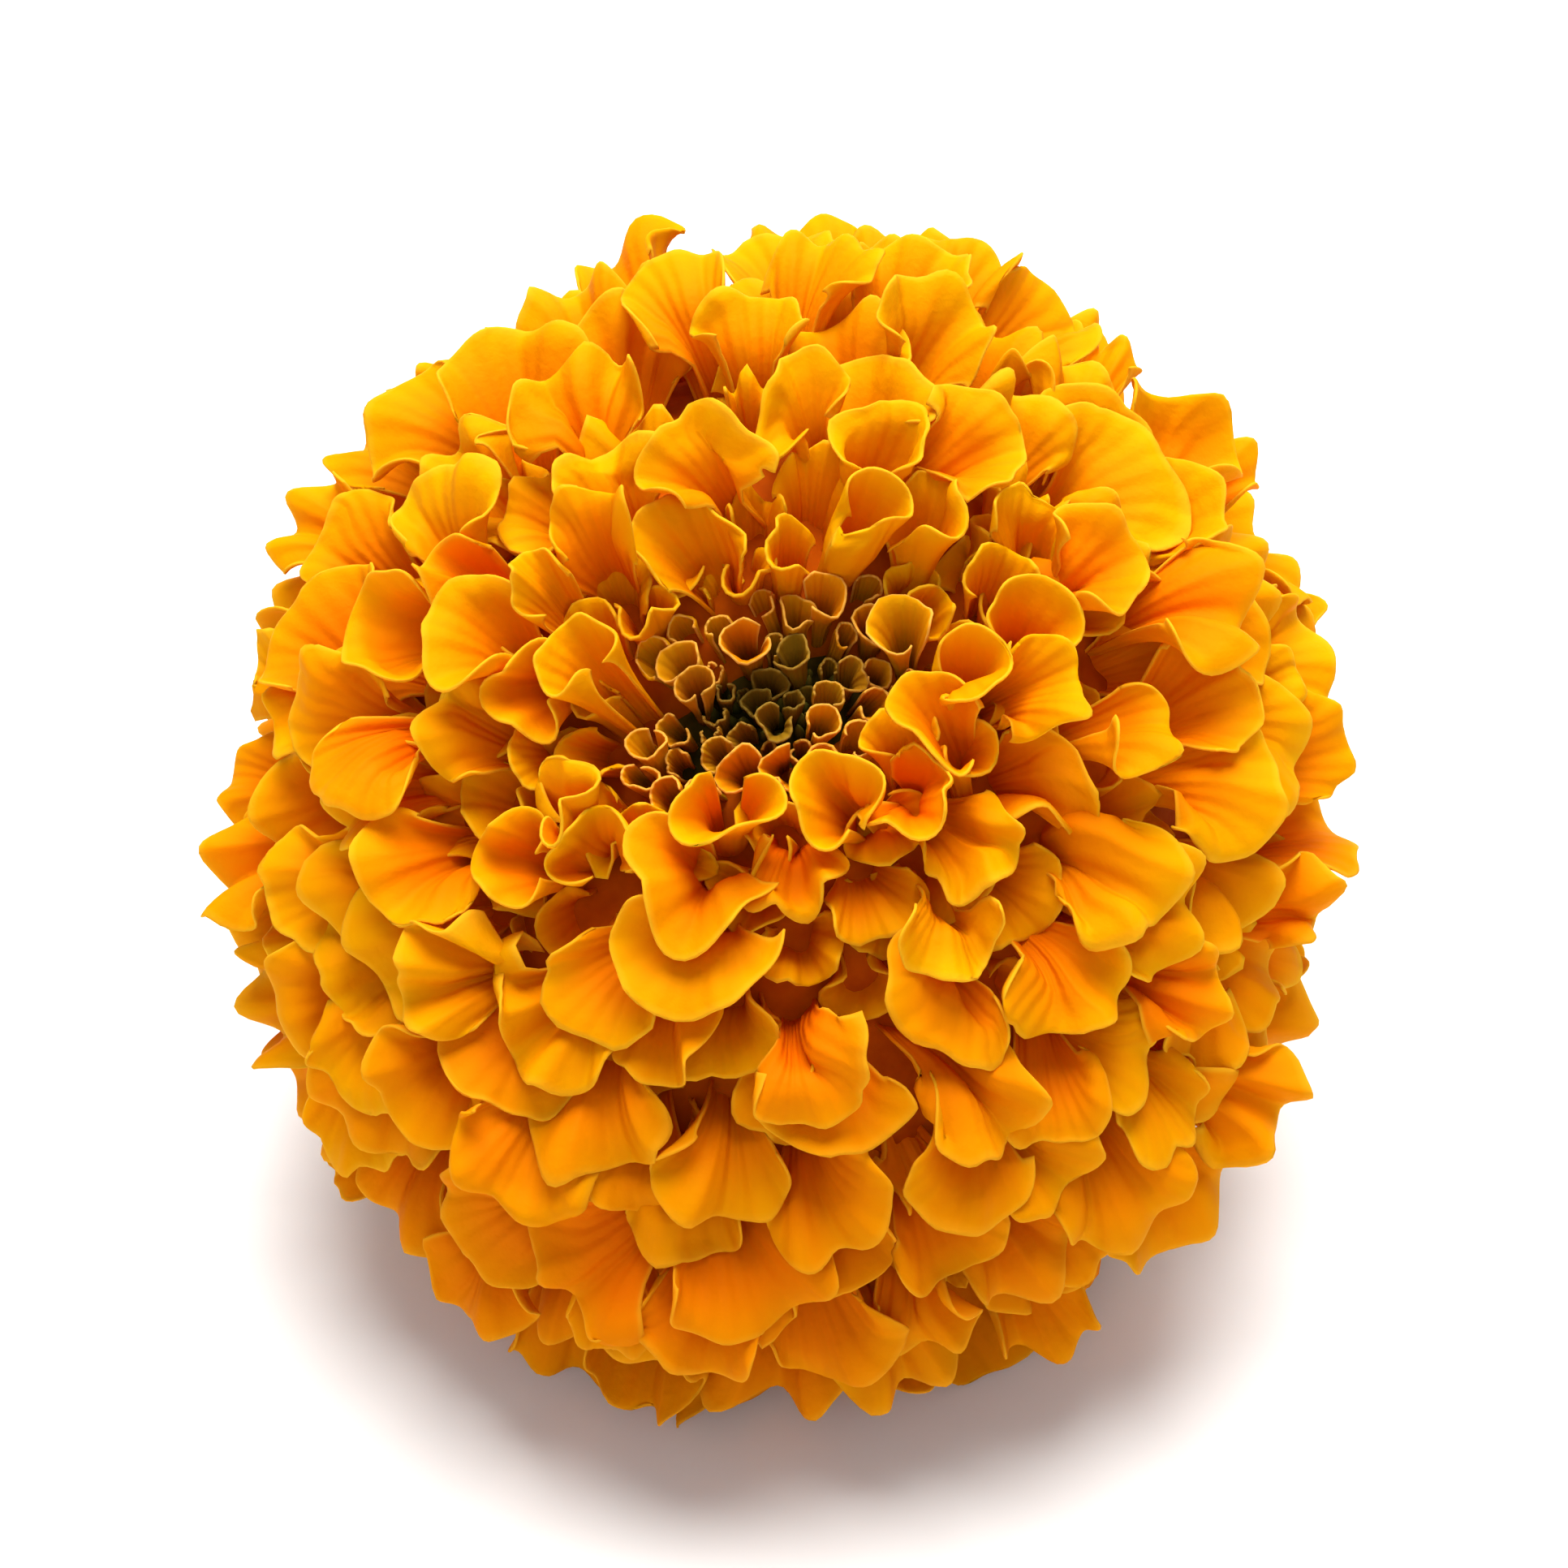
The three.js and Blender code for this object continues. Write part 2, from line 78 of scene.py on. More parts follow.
CALYX_LENGTH = 14.5
CALYX_RADIUS = 10.5
CALYX_RIBS = 8
STEM_RADIUS = 2.7
STEM_NECK_RADIUS = 3.5
STEM_SIDES = 14
STEM_STRAIGHT = 52.0
STEM_SWERVE = 9.0
CUT_SLANT = 20.0
GAP = 0.35

GOLDEN_TURN = math.pi * (3 - math.sqrt(5))
FORWARD = np.array([0.0, 0.0, 1.0])

# ---- The petals' own dimensions, in millimetres and degrees ------------------------------------------

PETAL_THICKNESS = 0.26
PETAL_THROAT = 0.9
PETAL_COUNT = 480
PETAL_COLUMNS, PETAL_ROWS = 49, 16
PETAL_GAP = 0.42
PETAL_RINGS = 8
LEAN_HEADING = -60.0  # from the eye's right: the florets there, at the lower right, lean over the eye
THINNINGS = (50, 28)  # a petal that crosses the others by more than so many faces goes, in each thinning
OUTER_SHARE = 0.56  # the share of a petal's rows that can meet other petals
CURVE_STEPS = 48
FOOT_SLOPE = 6

# For each round: how many fillers are tried, and how much less far than a full petal they come out.
FILLER_ROUNDS = ((900, 0.8, 4.0), (700, 3.0, 6.0))
FILLER_COLUMNS, FILLER_ROWS = 25, 10
FILLER_CROSSINGS = 5  # a filler that crosses its neighbours by so many faces is left out
NEIGHBOUR_REACH = 18.0  # it is tried against the petals whose middles are as near as this

EYE_COUNT = 130
EYE_FLORET_THICKNESS = 0.2
EYE_COLUMNS, EYE_ROWS = 21, 10
EYE_BUDS = 26

# ---- Small helpers ----------------------------------------------------------------------------------


def smooth(start, end, value):
    """0 up to the start, 1 from the end on, and a soft step between them."""
    share = np.clip((value - start) / (end - start), 0, 1)
    return share * share * (3 - 2 * share)


def lerp(start, end, share):
    return start + (end - start) * share


def unit(vector):
    return vector / np.linalg.norm(vector)


def turned(vector, axis, angle):
    """A vector turned about an axis by an angle in radians."""
    cosine, sine = math.cos(angle), math.sin(angle)
    return vector * cosine + np.cross(axis, vector) * sine + axis * (axis @ vector) * (1 - cosine)


class Shape:
    """Vertices, faces and per-vertex values that several makers add to, for one mesh."""

    def __init__(self, *names):
        self.points = []
        self.quads = []
        self.triangles = []
        self.values = {name: [] for name in names}
        self.count = 0

    def add(self, points, quads=(), triangles=(), **values):
        self.points.append(points)
        if len(quads):
            self.quads.append(np.asarray(quads) + self.count)
        if len(triangles):
            self.triangles.append(np.asarray(triangles) + self.count)
        for name, held in self.values.items():
            held.append(np.broadcast_to(values.get(name, 0.0), len(points)))
        self.count += len(points)

    def add_rings(self, points, columns, downward=False, **values):
        """A closed body of rings that run anticlockwise seen from above, each ring above the last.

        The last two points are the middles of its two ends. Where the rings are stacked downward instead, the
        faces turn over.
        """
        total = len(points) - 2
        rows = total // columns
        here = np.arange(columns)
        after, last_row = (here + 1) % columns, total - columns
        quads = grid_quads(rows, columns, closed=True)
        first = np.stack([np.full(columns, total), after, here], -1)
        last = np.stack([np.full(columns, total + 1), last_row + here, last_row + after], -1)
        triangles = np.concatenate([first, last])
        if downward:
            quads, triangles = quads[:, ::-1], triangles[:, [0, 2, 1]]
        self.add(points, quads=quads, triangles=triangles, **values)


def grid_quads(rows, columns, closed=False):
    """Quads over a grid of points that is stored row by row. A closed grid's last column joins its first."""
    i, j = np.meshgrid(np.arange(columns if closed else columns - 1), np.arange(rows - 1))
    here, right = i, (i + 1) % columns
    quads = [j * columns + here, j * columns + right, (j + 1) * columns + right, (j + 1) * columns + here]
    return np.stack(quads, -1).reshape(-1, 4)


def mesh_object(name, shape, material, place):
    """One object from a Shape. `place` takes its points, in millimetres, to metres in the row's frame."""
    points = place(np.concatenate(shape.points))
    faces = []
    for group in (shape.quads, shape.triangles):
        if group:
            faces.extend(np.concatenate(group).tolist())
    mesh = bpy.data.meshes.new(name)
    mesh.from_pydata(points.tolist(), [], faces)
    for key, held in shape.values.items():
        layer = mesh.attributes.new(key, "FLOAT", "POINT")
        layer.data.foreach_set("value", np.concatenate(held).astype(np.float32))
    mesh.polygons.foreach_set("use_smooth", [True] * len(mesh.polygons))
    mesh.update()
    made = bpy.data.objects.new(name, mesh)
    bpy.context.scene.collection.objects.link(made)
    made.data.materials.append(material)
    return made


# ---- The bloom's form, as in the part ----------------------------------------------------------------

tilt = math.radians(EYE_TILT)
eye_direction = np.array([0.0, math.sin(tilt), math.cos(tilt)])
eye_right = np.array([1.0, 0.0, 0.0])
eye_up = np.cross(eye_direction, eye_right)
lean = math.radians(EYE_LEAN)
eye_long = eye_right * math.cos(lean) + eye_up * math.sin(lean)
eye_short = np.cross(eye_direction, eye_long)


def angle_between(one, other):
    return math.degrees(math.acos(max(-1.0, min(1.0, float(one @ other)))))


def eye_distance(direction):
    """Degrees from the eye's middle to a direction, as if the eye was round. Far from it nothing changes."""
    from_eye = angle_between(direction, eye_direction)
    turn = math.atan2(float(direction @ eye_short), float(direction @ eye_long))
    oval = math.hypot(math.cos(turn) / EYE_LONG, math.sin(turn) / EYE_SHORT)
    return from_eye * lerp(oval, 1.0, float(smooth(EYE_ANGLE, EYE_ANGLE * 3, from_eye)))


def bloom_radius(direction):
    """How far the bloom reaches in a direction: two half ellipsoids, with a hollow at the eye."""
    across, up, forward = direction
    depth = BLOOM_FRONT if forward > 0 else BLOOM_BACK
    hollow = EYE_DEPTH * (1 - smooth(EYE_ANGLE * 0.35, EYE_RIM, eye_distance(direction)))
    return 1 / math.hypot(across / BLOOM_HALF_WIDTH, up / BLOOM_HALF_HEIGHT, forward / depth) - hollow


def core_radius(direction, share=CORE_SHARE):
    """How far the core reaches in a direction: a share of the bloom, cut off behind by the calyx's seat."""
    sine = math.hypot(direction[0], direction[1])
    cone = (CORE_BACK + CORE_SLOPE * CORE_SEAT_RADIUS) / max(CORE_SLOPE * sine - direction[2], 0.01)
    seat = CORE_BACK / max(-direction[2], 0.01)
    return min(bloom_radius(direction) * share, cone, seat)


def depth_to_core(tip, axis):
    """How deep the core lies under a petal's tip, along its axis."""
    step, depth, point = 0.5, 0.0, tip.copy()
    while depth < BLOOM_HALF_HEIGHT and np.linalg.norm(point) > core_radius(unit(point)):
        depth += step
        point = point - axis * step
    return depth


def spiral_directions(count, from_angle, to_angle):
    """Directions spread evenly between two angles from the eye, each a golden turn on from the last."""
    start, end = math.cos(math.radians(from_angle)), math.cos(math.radians(to_angle))
    made = []
    for k in range(count):
        cosine = start + (end - start) * (k + 0.5) / count
        sine = math.sqrt(1 - cosine * cosine)
        turn = k * GOLDEN_TURN
        around = eye_right * sine * math.cos(turn) + eye_up * sine * math.sin(turn)
        made.append(around + eye_direction * cosine)
    return made


# ---- Petals -----------------------------------------------------------------------------------------


class Petal:
    """The middle sheet of one floret, as a grid of points, and what its surface needs to know of each.

    `u` goes across the sheet from -1 to 1, and `v` along it from 0 at the root to 1 at the lip.
    """

    def __init__(self, middle, u, v, folds, thickness, tone, shade, root, tip, mouth):
        self.middle = middle
        self.root, self.tip, self.mouth = root, tip, mouth
        self.u, self.v, self.folds = u, v, folds
        self.thickness = thickness
        self.tone, self.shade = tone, shade


def run_up(rates):
    """The distance covered at each of the curve's steps, from the rates there."""
    return np.concatenate([[0], np.cumsum((rates[1:] + rates[:-1]) / 2) / CURVE_STEPS])


def trumpet(rng, tip, axis, outward, *, width, sector, flare, depth, throat, bend, pleats, pleat, ruffle,
            roll, corner, notch, columns, rows, thickness, shade):
    """A petal: a sector of a trumpet whose lip ends at `tip`, with pleats that run into its ruffled margin.

    It goes `sector` degrees round its axis, half to each side of `outward`. Its lip is `width` across and
    opens by `flare` degrees, the later the higher `bend` is, and its root lies `depth` under the tip.
    """
    sideways = np.cross(axis, outward)
    steps = np.linspace(0, 1, CURVE_STEPS + 1)
    tangents = np.radians(FOOT_SLOPE + (flare - FOOT_SLOPE) * steps ** bend)
    out_steps, up_steps = run_up(np.sin(tangents)), run_up(np.cos(tangents))
    length = depth / up_steps[-1]
    half = math.radians(sector) / 2
    lip = width / (2 * math.sin(min(half, math.pi / 2))) / (throat + length * out_steps[-1])
    root = tip - axis * depth

    # The grid is finer towards the margin, where the petal waves.
    even = np.linspace(-1, 1, columns)
    u, v = np.meshgrid(lerp(even, np.sin(even * math.pi / 2), 0.6), 1 - (1 - np.linspace(0, 1, rows)) ** 1.6)
    phase, phase2, phase3, phase4 = rng.uniform(0, 2 * math.pi, 4)
    folds = np.cos(math.pi * pleats * u + phase)
    scallops = np.abs(np.cos(math.pi * (pleats * 0.5 + 0.4) * u + phase * 0.5))
    margin = 1 - corner * np.abs(u) ** 3.4 - notch * (1 - scallops)
    margin += 0.018 * np.sin(7 * u + phase) + 0.008 * np.sin(19 * u + phase2)
    share = v * (1 - (1 - margin) * v ** 3)
    out = np.interp(share, steps, out_steps) * length + throat
    up = np.interp(share, steps, up_steps) * length
    slope = np.interp(share, steps, tangents)

    # Pleats, the margin's ruffle, the roll of the sides, and two slight waves that break the rule up.
    wave = pleat * v ** 1.7 * folds * (1 - 0.25 * np.abs(u))
    wave += ruffle * v ** 4 * np.cos(math.pi * (pleats * 0.7 + 1.3) * u + phase3)
    wave += roll * np.abs(u) ** 3 * v ** 3
    wave += 0.3 * v * v * np.sin(3.1 * u + phase4) * np.sin(5 * v + phase2)
    wave += 0.1 * v * v * np.cos(13 * u + phase2)
    reach = out * lerp(1.0, lip, v ** 1.3) + wave * np.cos(slope)
    angle = u * half + 0.12 * v * math.sin(phase4)
    middle = (root + axis * (up - wave * np.sin(slope))[..., None]
              + outward * (reach * np.cos(angle))[..., None] + sideways * (reach * np.sin(angle))[..., None])
    closed_round = sector > 200
    mouth = width / 2 if closed_round else 0.0
    return Petal(middle, u, v, folds, thickness, rng.uniform(-1, 1), shade, root, tip, mouth)


def outer_part(petal, share=1.0):
    """The points of so much of a petal, from its lip down, and the tree that finds what crosses it."""
    rows, columns = petal.u.shape
    taken = round(rows * share)
    points = petal.middle[rows - taken:].reshape(-1, 3)
    return points, BVHTree.FromPolygons(points.tolist(), grid_quads(taken, columns).tolist())


def close_pairs(sheets, reach):
    """The pairs of sheets near each other, the lower number first, and the sheets' middles and spans."""
    middles = np.array([points.mean(0) for points in sheets])
    spans = np.array([
        np.linalg.norm(points - middle, axis=1).max() for points, middle in zip(sheets, middles)])
    pairs = []
    for j in range(1, len(sheets)):
        far = np.linalg.norm(middles[:j] - middles[j], axis=1)
        pairs.extend((i, j) for i in np.nonzero(far < (spans[:j] + spans[j]) * reach)[0])
    return pairs, middles, spans


def stands_in(petal, other):
    """Whether a petal's tip is within another's mouth, which is narrower towards its root."""
    along = other.tip - other.root
    share = min(1.0, max(0.0, float((petal.tip - other.root) @ along) / float(along @ along)))
    return np.linalg.norm(petal.tip - other.root - along * share) < other.mouth * (0.35 + 0.6 * share)


def add_petal(shape, petal):
    """Adds a petal to a shape as a thin closed shell with a thinner rim."""
    middle, u, v = petal.middle, petal.u, petal.v
    rows, columns = u.shape
    across_way, along_way = np.gradient(middle, axis=1), np.gradient(middle, axis=0)
    normal = np.cross(along_way, across_way)  # to the inner side of the trumpet
    normal /= np.linalg.norm(normal, axis=-1, keepdims=True)
    # The rim: made thinner here, and painted paler by the material as light glowing through the margin.
    rim = np.maximum(smooth(0.975, 1.0, v), smooth(0.955, 1.0, np.abs(u)) * smooth(0.35, 0.6, v))
    half_thick = (petal.thickness / 2 * (1 - 0.45 * rim))[..., None]
    inner, outer = middle + normal * half_thick, middle - normal * half_thick
    quads = grid_quads(rows, columns)
    size = rows * columns
    edge = np.concatenate([
        np.arange(columns),
        np.arange(1, rows) * columns + columns - 1,
        (rows - 1) * columns + np.arange(columns - 2, -1, -1),
        np.arange(rows - 2, 0, -1) * columns,
    ])
    after = np.roll(edge, -1)
    band = np.stack([edge, edge + size, after + size, after], -1)
    flat = {"along": v.ravel(), "rim": rim.ravel(), "fold": petal.folds.ravel(), "across": u.ravel()}
    flat = {name: np.concatenate([held, held]) for name, held in flat.items()}
    shape.add(
        np.concatenate([inner.reshape(-1, 3), outer.reshape(-1, 3)]),
        quads=np.concatenate([quads[:, ::-1], quads + size, band[:, ::-1]]),
        back=np.repeat([0.0, 1.0], size), tone=petal.tone, shade=petal.shade, **flat)


def blend_matrix(fine, coarse_places):
    """Takes values at some places of a row of `fine` points to all of them, straight between the places."""
    places = np.arange(fine)
    return np.stack([np.interp(places, coarse_places, one) for one in np.eye(len(coarse_places))], -1)


# The rows and columns of a petal that settling moves. The others follow between them.
COARSE_ROWS = [2, 4, 6, 8, 9, 10, 11, 12, 13, 14, 15]
COARSE_COLUMNS = list(range(0, PETAL_COLUMNS, 4))
SWEEPS = 3
SEARCH_DEPTH = 2.6
UNDER_MOVE, OVER_MOVE = 0.55, 0.35  # what share of its gap the lower and the upper petal of a pair give way
SMOOTHINGS = 2


def settle(petals):
    """Moves petals that pass through each other apart. Each lies under those that come before it in order."""
    rows, columns = len(COARSE_ROWS), len(COARSE_COLUMNS)
    to_rows, to_columns = blend_matrix(PETAL_ROWS, COARSE_ROWS), blend_matrix(PETAL_COLUMNS, COARSE_COLUMNS)
    faces = grid_quads(rows, columns)[:, ::-1].tolist()  # they face the eye's side
    hold = smooth(0.2, 0.5, petals[0].v[COARSE_ROWS][:, :1])
    coarse = [petal.middle[np.ix_(COARSE_ROWS, COARSE_COLUMNS)].reshape(-1, 3) for petal in petals]
    start = [points.copy() for points in coarse]
    for _ in range(SWEEPS):
        trees = [BVHTree.FromPolygons(points.tolist(), faces) for points in coarse]
        pairs, middles, spans = close_pairs(coarse, 0.8)
        push = [np.zeros_like(points) for points in coarse]
        weight = [np.full(len(points), 1e-6) for points in coarse]
        for i, j in pairs:
            near = np.linalg.norm(coarse[j] - middles[i], axis=1) < spans[i] + 1
            for k in np.nonzero(near)[0]:
                point = Vector(coarse[j][k])
                found, normal, face, distance = trees[i].find_nearest(point, SEARCH_DEPTH)
                if found is None:
                    continue
                height = (point - found).dot(normal)
                beside = abs(height) < 0.7 * distance
                if height < -PETAL_GAP or beside:
                    continue
                move = np.array(normal) * (height + PETAL_GAP)
                push[j][k] -= move * UNDER_MOVE
                weight[j][k] += 1
                for corner in faces[face]:
                    push[i][corner] += move * OVER_MOVE
                    weight[i][corner] += 1
        for index, points in enumerate(coarse):
            moved = (push[index] / np.maximum(weight[index], 1)[:, None]).reshape(rows, columns, 3)
            for _ in range(SMOOTHINGS):
                padded = np.pad(moved, ((1, 1), (1, 1), (0, 0)), mode="edge")
                moved = (padded[:-2, 1:-1] + padded[2:, 1:-1] + padded[1:-1, :-2] + padded[1:-1, 2:]
                         + 2 * moved) / 6
            coarse[index] = points + (moved * hold[..., None]).reshape(-1, 3)
    for petal, before, after in zip(petals, start, coarse):
        moved = (after - before).reshape(rows, columns, 3)
        petal.middle = petal.middle + np.einsum("ri,cj,ijk->rck", to_rows, to_columns, moved)


def thinned(petals, most):
    """The petals without those that pass through the others by more than `most` faces, the worst first."""
    sheets, trees = zip(*(outer_part(petal, OUTER_SHARE) for petal in petals))
    crossings = np.zeros((len(petals), len(petals)))
    for i, j in close_pairs(sheets, 1.0)[0]:
        crossings[i, j] = crossings[j, i] = len(trees[i].overlap(trees[j]))
    kept = np.ones(len(petals))
    totals = crossings.sum(1)
    while totals.max() > most:
        worst = totals.argmax()
        kept[worst] = 0
        totals = (totals - crossings[worst]) * kept
    return [petal for petal, stays in zip(petals, kept) if stays]


def outward_way(direction, axis):
    """Away from the eye, square to a petal's axis."""
    away = direction * float(direction @ eye_direction) - eye_direction
    return unit(away - axis * float(away @ axis))


def leaning_share(direction):
    """How much a floret's place about the eye makes it stand up and lean over the eye."""
    heading = math.degrees(math.atan2(float(direction @ eye_up), float(direction @ eye_right)))
    return float(smooth(115, 50, abs((heading - LEAN_HEADING + 180) % 360 - 180)))


def ray_petal(rng, even, sunk):
    """The open floret whose lip comes out at a direction, or None where the bloom has none.

    A sunk one is a filler: it is smaller, and opens deeper between the others.
    """
    direction = unit(even + rng.normal(0, 0.022, 3))
    from_axis = angle_between(direction, FORWARD)
    from_eye = eye_distance(direction)
    if from_axis > PETAL_REACH or from_eye < EYE_RIM:
        return None
    young = float(1 - smooth(EYE_ANGLE, EYE_ANGLE * 2.1, from_eye))
    side = float(smooth(50, 75, from_axis))
    low = float(smooth(95, 122, from_axis))
    leaning = young * leaning_share(direction)

    # Where the lip comes out, and which way the floret stands there.
    focus = np.array([0, 0, -lerp(FOCUS_DEPTH, LOW_FOCUS_DEPTH, low)])
    reach = bloom_radius(direction) + rng.uniform(-2.8, 0.9) + 2.2 * leaning - sunk
    tip = direction * reach
    axis = unit(tip - focus)
    outward = outward_way(direction, axis)
    sideways = np.cross(axis, outward)
    nod = rng.uniform(-0.2, 0.16) - 0.5 * leaning
    axis = unit(axis + outward * nod + sideways * rng.normal(0, 0.15))
    outward = unit(outward - axis * float(outward @ axis))
    outward = turned(outward, axis, math.radians(rng.normal(0, 34)))
    tip = tip - outward * lerp(1.5, 3.2, leaning)
    depth = depth_to_core(tip, axis) + 1.0

    # Near the eye a floret is a whole trumpet, further out a fan.
    fan = float(smooth(EYE_ANGLE, 66, from_eye + rng.normal(0, 7)))
    sector = lerp(285, 132, fan ** 0.7) + rng.uniform(-28, 28) - 14 * low - 70 * leaning
    flare = lerp(58, 91, fan) + rng.uniform(-16, 14) + 26 * leaning
    width = lerp(5.2, 13.2, float(smooth(EYE_ANGLE, 56, from_eye)) ** 0.8) * rng.triangular(0.72, 0.98, 1.26)
    width *= 1 + 0.08 * low + 0.45 * leaning
    width = max(width - 0.9 * sunk, 4.2)
    pleats = rng.uniform(1.5, 3.2)
    kind = rng.random()
    if young > 0.3 and rng.random() < 0.2:  # open away from the eye, so that it shows its back
        outward, flare, tip = -outward, flare - 12, tip + outward * 2.0
    if kind < 0.14 and from_axis < 75:  # rolled back at the lip
        flare += 24
    elif kind < 0.34 and from_axis < 74:  # rolled up into a tube
        sector, width, flare = sector + 95, width * 0.8, flare - 12
    elif kind < 0.42 and from_axis < 60:  # folded along its middle
        pleats, sector = 1.0, sector * 0.8

    columns, rows = (FILLER_COLUMNS, FILLER_ROWS) if sunk else (PETAL_COLUMNS, PETAL_ROWS)
    petal = trumpet(
        rng, tip, axis, outward, width=width, sector=sector, flare=flare, depth=depth, throat=PETAL_THROAT,
        bend=rng.uniform(1.9, 3.4), pleats=pleats,
        pleat=rng.uniform(0.45, 1.2) * (1 - 0.4 * young) * (1 - 0.2 * side),
        ruffle=rng.uniform(0.4, 1.1) * (1 - 0.3 * young), roll=rng.uniform(-0.9, 1.0),
        corner=rng.uniform(0.18, 0.36), notch=rng.uniform(0.01, 0.05), columns=columns, rows=rows,
        # Painted shade: the petals on the bloom's lower side are coloured darker and deeper orange.
        thickness=PETAL_THICKNESS, shade=float(smooth(0.25, 1.0, -direction[1])))
    # Painted top light: the upper petals are tinted paler and yellower. Those near the eye are paler too.
    petal.tone += 0.9 * float(smooth(-0.1, 0.7, direction[1])) + 0.8 * young
    petal.from_eye = from_eye
    petal.order = from_eye + rng.normal(0, 3.6)
    return petal


def ray_petals():
    """The open florets. Full ones are settled and thinned in turns, then fillers close their gaps."""
    rng = np.random.default_rng(11)
    inner_edge, outer_edge = EYE_ANGLE * EYE_SHORT, PETAL_REACH + EYE_TILT
    crowd = [ray_petal(rng, even, 0.0) for even in spiral_directions(PETAL_COUNT, inner_edge, outer_edge)]
    # What lies over what goes by the distance from the eye, with some disorder.
    petals = sorted((petal for petal in crowd if petal), key=lambda petal: petal.order)
    for most_crossings in THINNINGS:
        settle(petals)
        petals = thinned(petals, most_crossings)
    settle(petals)
    sheets, trees = map(list, zip(*(outer_part(petal, OUTER_SHARE) for petal in petals)))
    middles = [points.mean(0) for points in sheets]
    for tried, least_sunk, most_sunk in FILLER_ROUNDS:
        for even in spiral_directions(tried, inner_edge, outer_edge):
            petal = ray_petal(rng, even, rng.uniform(least_sunk, most_sunk))
            if petal is None:
                continue
            points, tree = outer_part(petal, OUTER_SHARE)
            near = np.linalg.norm(np.array(middles) - points.mean(0), axis=1) < NEIGHBOUR_REACH
            if sum(len(tree.overlap(trees[k])) for k in np.nonzero(near)[0]) < FILLER_CROSSINGS:
                petals.append(petal)
                trees.append(tree)
                middles.append(points.mean(0))
    return petals


def core_shape():
    """What lies under the petals: the crowd of their narrow feet, as one body coloured deeper orange than the
    petals, as painted shade in the gaps between them.
    """
    rows, columns = 40, 72
    points = []
    for j in range(rows):
        polar = math.pi * (j + 0.5) / rows
        sine = math.sin(polar)
        for i in range(columns):
            turn = 2 * math.pi * i / columns
            direction = np.array([sine * math.cos(turn), sine * math.sin(turn), math.cos(polar)])
            ripple = 0.4 * math.sin(14 * turn + 5 * polar) * sine
            outside_eye = float(smooth(EYE_ANGLE, EYE_ANGLE * 2.4, eye_distance(direction)))
            share = lerp(CORE_SHARE, FEET_SHARE, outside_eye)
            points.append(direction * (core_radius(direction, share) + ripple))
    points += [points[0] * FORWARD, points[-1] * FORWARD]
    shape = Shape()
    shape.add_rings(np.array(points), columns, downward=True)
    return shape


# ---- The eye ----------------------------------------------------------------------------------------

EYE_BED = bloom_radius(eye_direction) - 4.5
EYE_RADIUS = 11.4


def in_oval(radius, turn):
    """Where a point of a round eye lies in the oval one."""
    return eye_long * (EYE_LONG * radius * math.cos(turn)) + eye_short * (EYE_SHORT * radius * math.sin(turn))


def eye_floret(rng, share, turn, shrink):
    """One trumpet of the eye. `share` goes from 0 in the eye's middle to 1 at its rim."""
    way = unit(in_oval(1.0, turn))
    place = in_oval(EYE_RADIUS * share, turn) + rng.normal(0, 0.4, 3)
    length = lerp(2.8, 7.4, share ** 1.2) * (0.5 + 0.5 * shrink) + rng.uniform(-0.4, 0.4)
    axis = unit(eye_direction + way * (0.06 + 0.32 * share) + rng.normal(0, 0.08, 3))
    foot = eye_direction * (EYE_BED - 1.2 - 0.6 * share) + place * 0.88
    depth = length + 1.2
    outward = turned(unit(way - axis * float(way @ axis)), axis, rng.uniform(-1.8, 1.8))
    widest = 3.8 + 1.6 * abs(math.cos(turn))
    return trumpet(
        rng, foot + axis * depth, axis, outward, width=lerp(1.9, widest, share ** 1.3) * shrink,
        sector=rng.uniform(215, 335), flare=lerp(28, 84, share) + rng.uniform(-10, 18), depth=depth,
        throat=lerp(0.3, 0.6, share), bend=2.6, pleats=rng.uniform(1, 2.4), pleat=0.5 * share * shrink,
        ruffle=0.45 * share * shrink, roll=rng.uniform(-0.9, 0.5) * share, corner=0.1, notch=0.04,
        columns=EYE_COLUMNS, rows=EYE_ROWS, thickness=EYE_FLORET_THICKNESS,
        # Here the value gives the middle florets their own olive colour.
        shade=1 - float(smooth(0.1, 0.7, share)))


def eye_florets(around):
    """Small unopened trumpets: brown-orange outside, with rims painted pale as light glowing through them,
    and olive in the middle.

    Each is tried at smaller and smaller sizes, in what room the others and the open petals around leave.
    """
    rng = np.random.default_rng(5)
    made = []
    taken = [(petal, outer_part(petal)[1]) for petal in around]
    for k in reversed(range(EYE_COUNT)):
        share = ((k + 0.5) / EYE_COUNT) ** 0.64
        for shrink in np.linspace(1.25, 0.45, 12):
            petal = eye_floret(rng, share, k * GOLDEN_TURN, shrink)
            tree = outer_part(petal)[1]
            if not any(stands_in(petal, other) or stands_in(other, petal) or tree.overlap(held)
                       for other, held in taken):
                taken.append((petal, tree))
                made.append(petal)
                break
    return made


